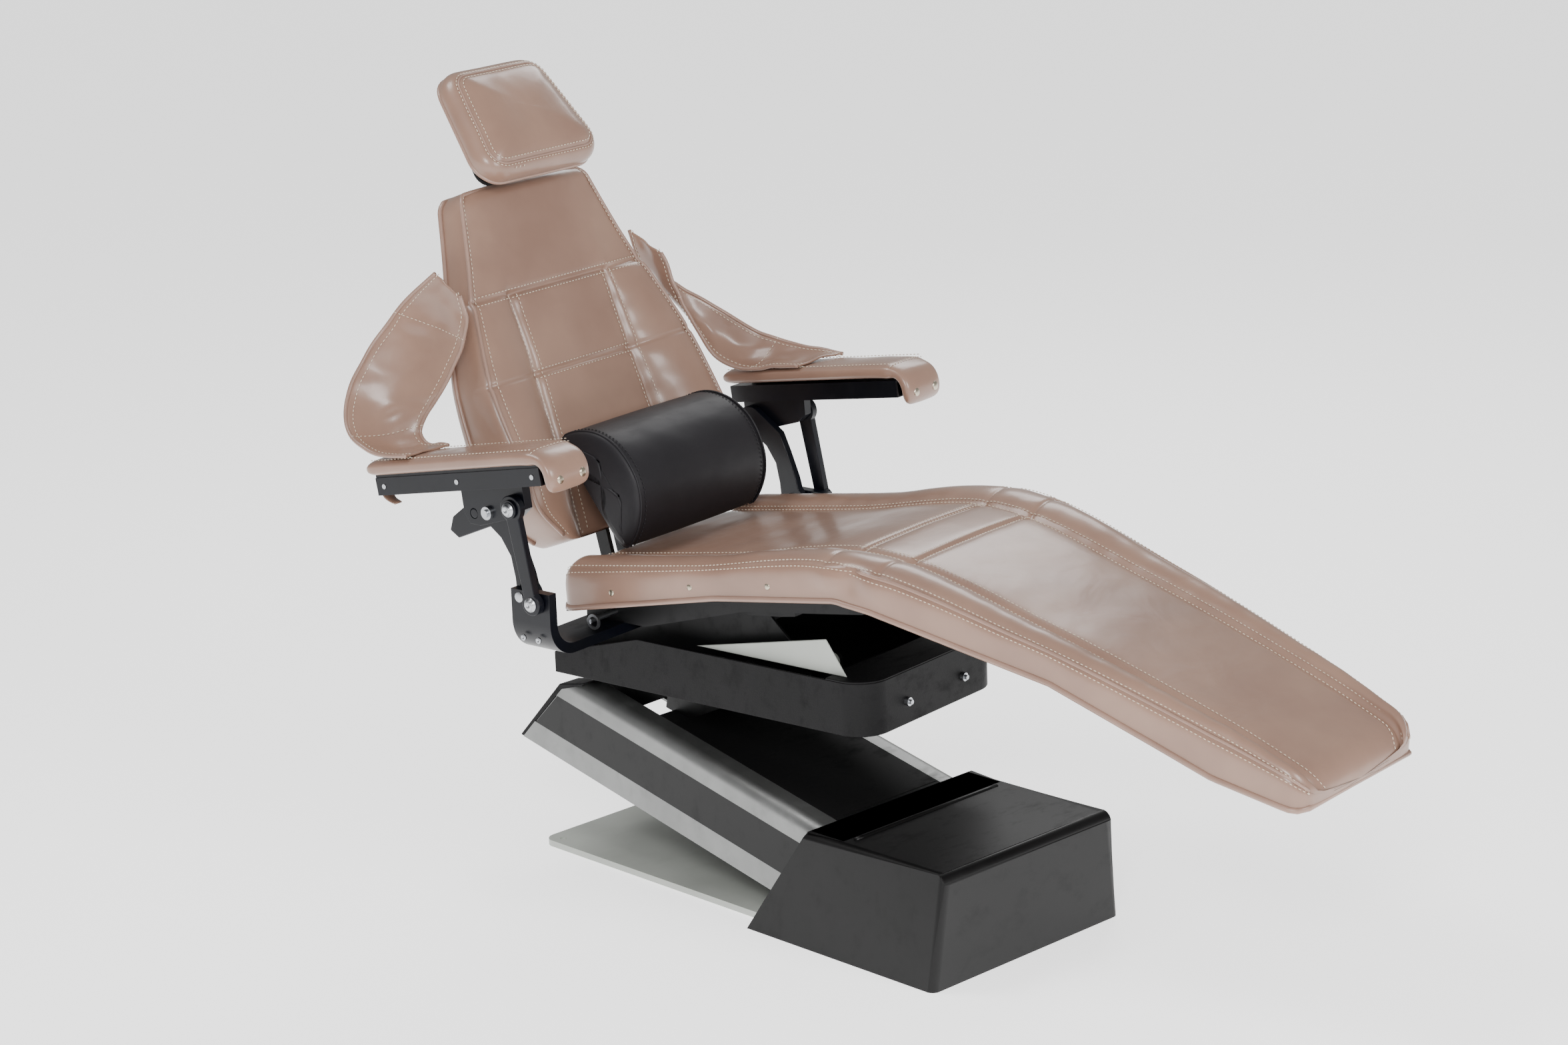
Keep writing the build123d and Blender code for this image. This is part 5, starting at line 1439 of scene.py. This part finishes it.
# ==== Screws and other fittings ===================================================================
@dataclass
class Fasteners:
    """Socket screws with zinc washers at the pivots and on the plates."""

    link_x: float = 353.5
    link_top_x: float = 357.6
    yoke_x: float = 340.2
    link_foot: tuple = (5.0, 483.0)
    link_top: tuple = (36.0, 625.0)
    yoke_pin: tuple = (40.0, 486.0)
    yoke_screws: tuple = ((4.0, 425.0), (34.0, 425.0))

    def build(self) -> None:
        """Sets the pins and screws on the yoke, and the screws on the links."""
        screw = turned_fitting("screw", [(11, 0), (11, 1.6), (7.6, 1.6), (7.6, 5.4), (6.9, 6.2),
                                         (4.2, 6.2)], 6,
                               3.6, 3.0)
        small = turned_fitting("small_screw", [(5, 0), (5, 2.2), (4.4, 2.9), (2.6, 2.9)], 6, 2.3,
                               1.6, 18)
        for side in Side:
            studs(f"link_screws_{side.word}", screw, [self.spot(side, self.link_x, self.link_foot)],
                  upper(), "zinc_steel", f"arm_link_{side.word}")
        for side in Side:
            studs(f"link_top_screw_{side.word}", screw,
                  [self.spot(side, self.link_top_x, self.link_top)],
                  upper(), "zinc_steel", f"armrest_{side.word}")
        spots = [self.spot(side, self.yoke_x, self.yoke_pin) for side in Side]
        flat = turned_fitting("flat_pin", [(8, 0), (8, 0.7), (7.2, 1.1), (0.6, 1.15)])
        studs("yoke_pins", flat, spots, upper(), "zinc_steel", "upper")
        spots = [self.spot(side, self.yoke_x, at) for side in Side for at in self.yoke_screws]
        studs("yoke_small_screws", small, spots, upper(), "zinc_steel", "upper")

    @staticmethod
    def spot(side: Side, x: float, at: tuple[float, float]) -> tuple[Point, Point]:
        """A place on one side, facing away from the seat."""
        return (side.value * x, *at), (side.value, 0, 0)


# ==== Camera and light ============================================================================
@dataclass
class Studio:
    """Pale floor, soft light and the camera."""

    place: Point = (-3.7171, -3.8556, 2.0712)
    pitch: float = 15.656
    roll: float = 2.021
    lens: float = 85.71
    heading: tuple = (0.6911, 0.7228)
    floor_half: float = 30.0
    floor_drop: float = 0.5
    floor_glow: float = 1.35
    daylight: float = 0.38
    lamps: tuple = (("key", (-3.4, -3.2, 2.9), 1.5, 150), ("fill", (0.4, -3.9, 2.3), 1.3, 75),
                    ("top", (-1.2, 1.2, 3.6), 1.2, 50), ("rim", (2.6, 1.6, 2.8), 1.4, 35))

    def lamp(self, name: str, place: Point, size: float, power: float,
             aim: Point = (0, -0.1, 0.5)) -> None:
        """Sets one soft square light.

        Args:
            name: its name.
            place: where it stands.
            size: its side.
            power: its power in watts.
            aim: the place it faces.
        """
        data = bpy.data.lights.new(name, "AREA")
        data.shape = "SQUARE"
        data.size = size
        data.energy = power
        lamp = linked(name, data)
        lamp.location = place
        lamp.rotation_euler = (Vector(aim) - Vector(place)).to_track_quat("-Z", "Y").to_euler()

    def build(self) -> None:
        """Sets the floor, world, lights and camera."""
        size, drop = self.floor_half, -self.floor_drop * MM
        corners = [(-size, -size, drop), (size, -size, drop), (size, size, drop),
                   (-size, size, drop)]
        floor = piece_from("studio_floor", corners, [(0, 1, 2, 3)], Matrix.Identity(4),
                           smooth=False)
        WARDROBE.dress(floor, "floor")
        nodes = WARDROBE.material("floor").node_tree.nodes
        glow = next(n for n in nodes if n.type == "BSDF_PRINCIPLED")
        glow.inputs["Emission Color"].default_value = (1.0, 1.0, 1.0, 1.0)
        glow.inputs["Emission Strength"].default_value = self.floor_glow
        world = bpy.data.worlds.new("studio")
        bpy.context.scene.world = world
        world.use_nodes = True
        backing = world.node_tree.nodes["Background"]
        backing.inputs["Color"].default_value = (1.0, 1.0, 1.0, 1.0)
        backing.inputs["Strength"].default_value = self.daylight
        for row in self.lamps:
            self.lamp(*row)
        tilt = radians(self.pitch)
        x, y = self.heading
        ahead_flat, across = Vector((x, y, 0)), Vector((y, -x, 0))
        ahead = cos(tilt) * ahead_flat - sin(tilt) * Vector((0, 0, 1))
        down = -sin(tilt) * ahead_flat - cos(tilt) * Vector((0, 0, 1))
        lean = radians(self.roll)
        right = cos(lean) * across + sin(lean) * down
        drop = cos(lean) * down - sin(lean) * across
        data = bpy.data.cameras.new("camera")
        data.lens = self.lens
        data.sensor_width = 36.0
        data.clip_end = 100.0
        camera = linked("camera", data)
        turn = Matrix((right, -drop, -ahead)).transposed().to_4x4()
        camera.matrix_world = Matrix.Translation(self.place) @ turn
        bpy.context.scene.camera = camera


def main() -> None:
    """Builds every sub-assembly in order, and reports each."""
    logging.basicConfig(level=logging.INFO, format="%(name)s %(message)s")
    Studio().build()
    Structure().build()
    BaseCover().build()
    ArmApron().build()
    SeatCushion().build()
    BackCushion().build()
    Headrest().build()
    LumbarRoll().build()
    Armrest(Side.RIGHT, (120.0, 659.5), -10.6, (
        ((-246, 216, 905), (-249, 262, 935)), ((-248, 205, 868), (-256, 318, 890)),
        ((-252, 212, 830), (-278, 346, 848)), ((-260, 226, 795), (-310, 360, 806)),
        ((-272, 240, 762), (-345, 363, 762)), ((-286, 264, 722), (-374, 345, 722)),
        ((-296, 268, 694), (-390, 308, 696)), ((-300, 240, 683), (-392, 256, 686)),
        ((-301, 205, 687), (-391, 205, 690)))).build()
    Armrest(Side.LEFT, (-6.0, 666.5), -8.5, (
        ((246, 240, 880), (240, 300, 912)), ((252, 215, 820), (262, 281, 848)),
        ((262, 190, 765), (300, 204, 798)), ((278, 160, 712), (335, 142, 754)),
        ((292, 120, 694), (352, 112, 737)), ((300, 70, 701), (376, 60, 722)),
        ((300, 10, 710), (391, -10, 716)))).build()
    Fasteners().build()
    bpy.context.view_layer.update()


if __name__ == "__main__":
    main()
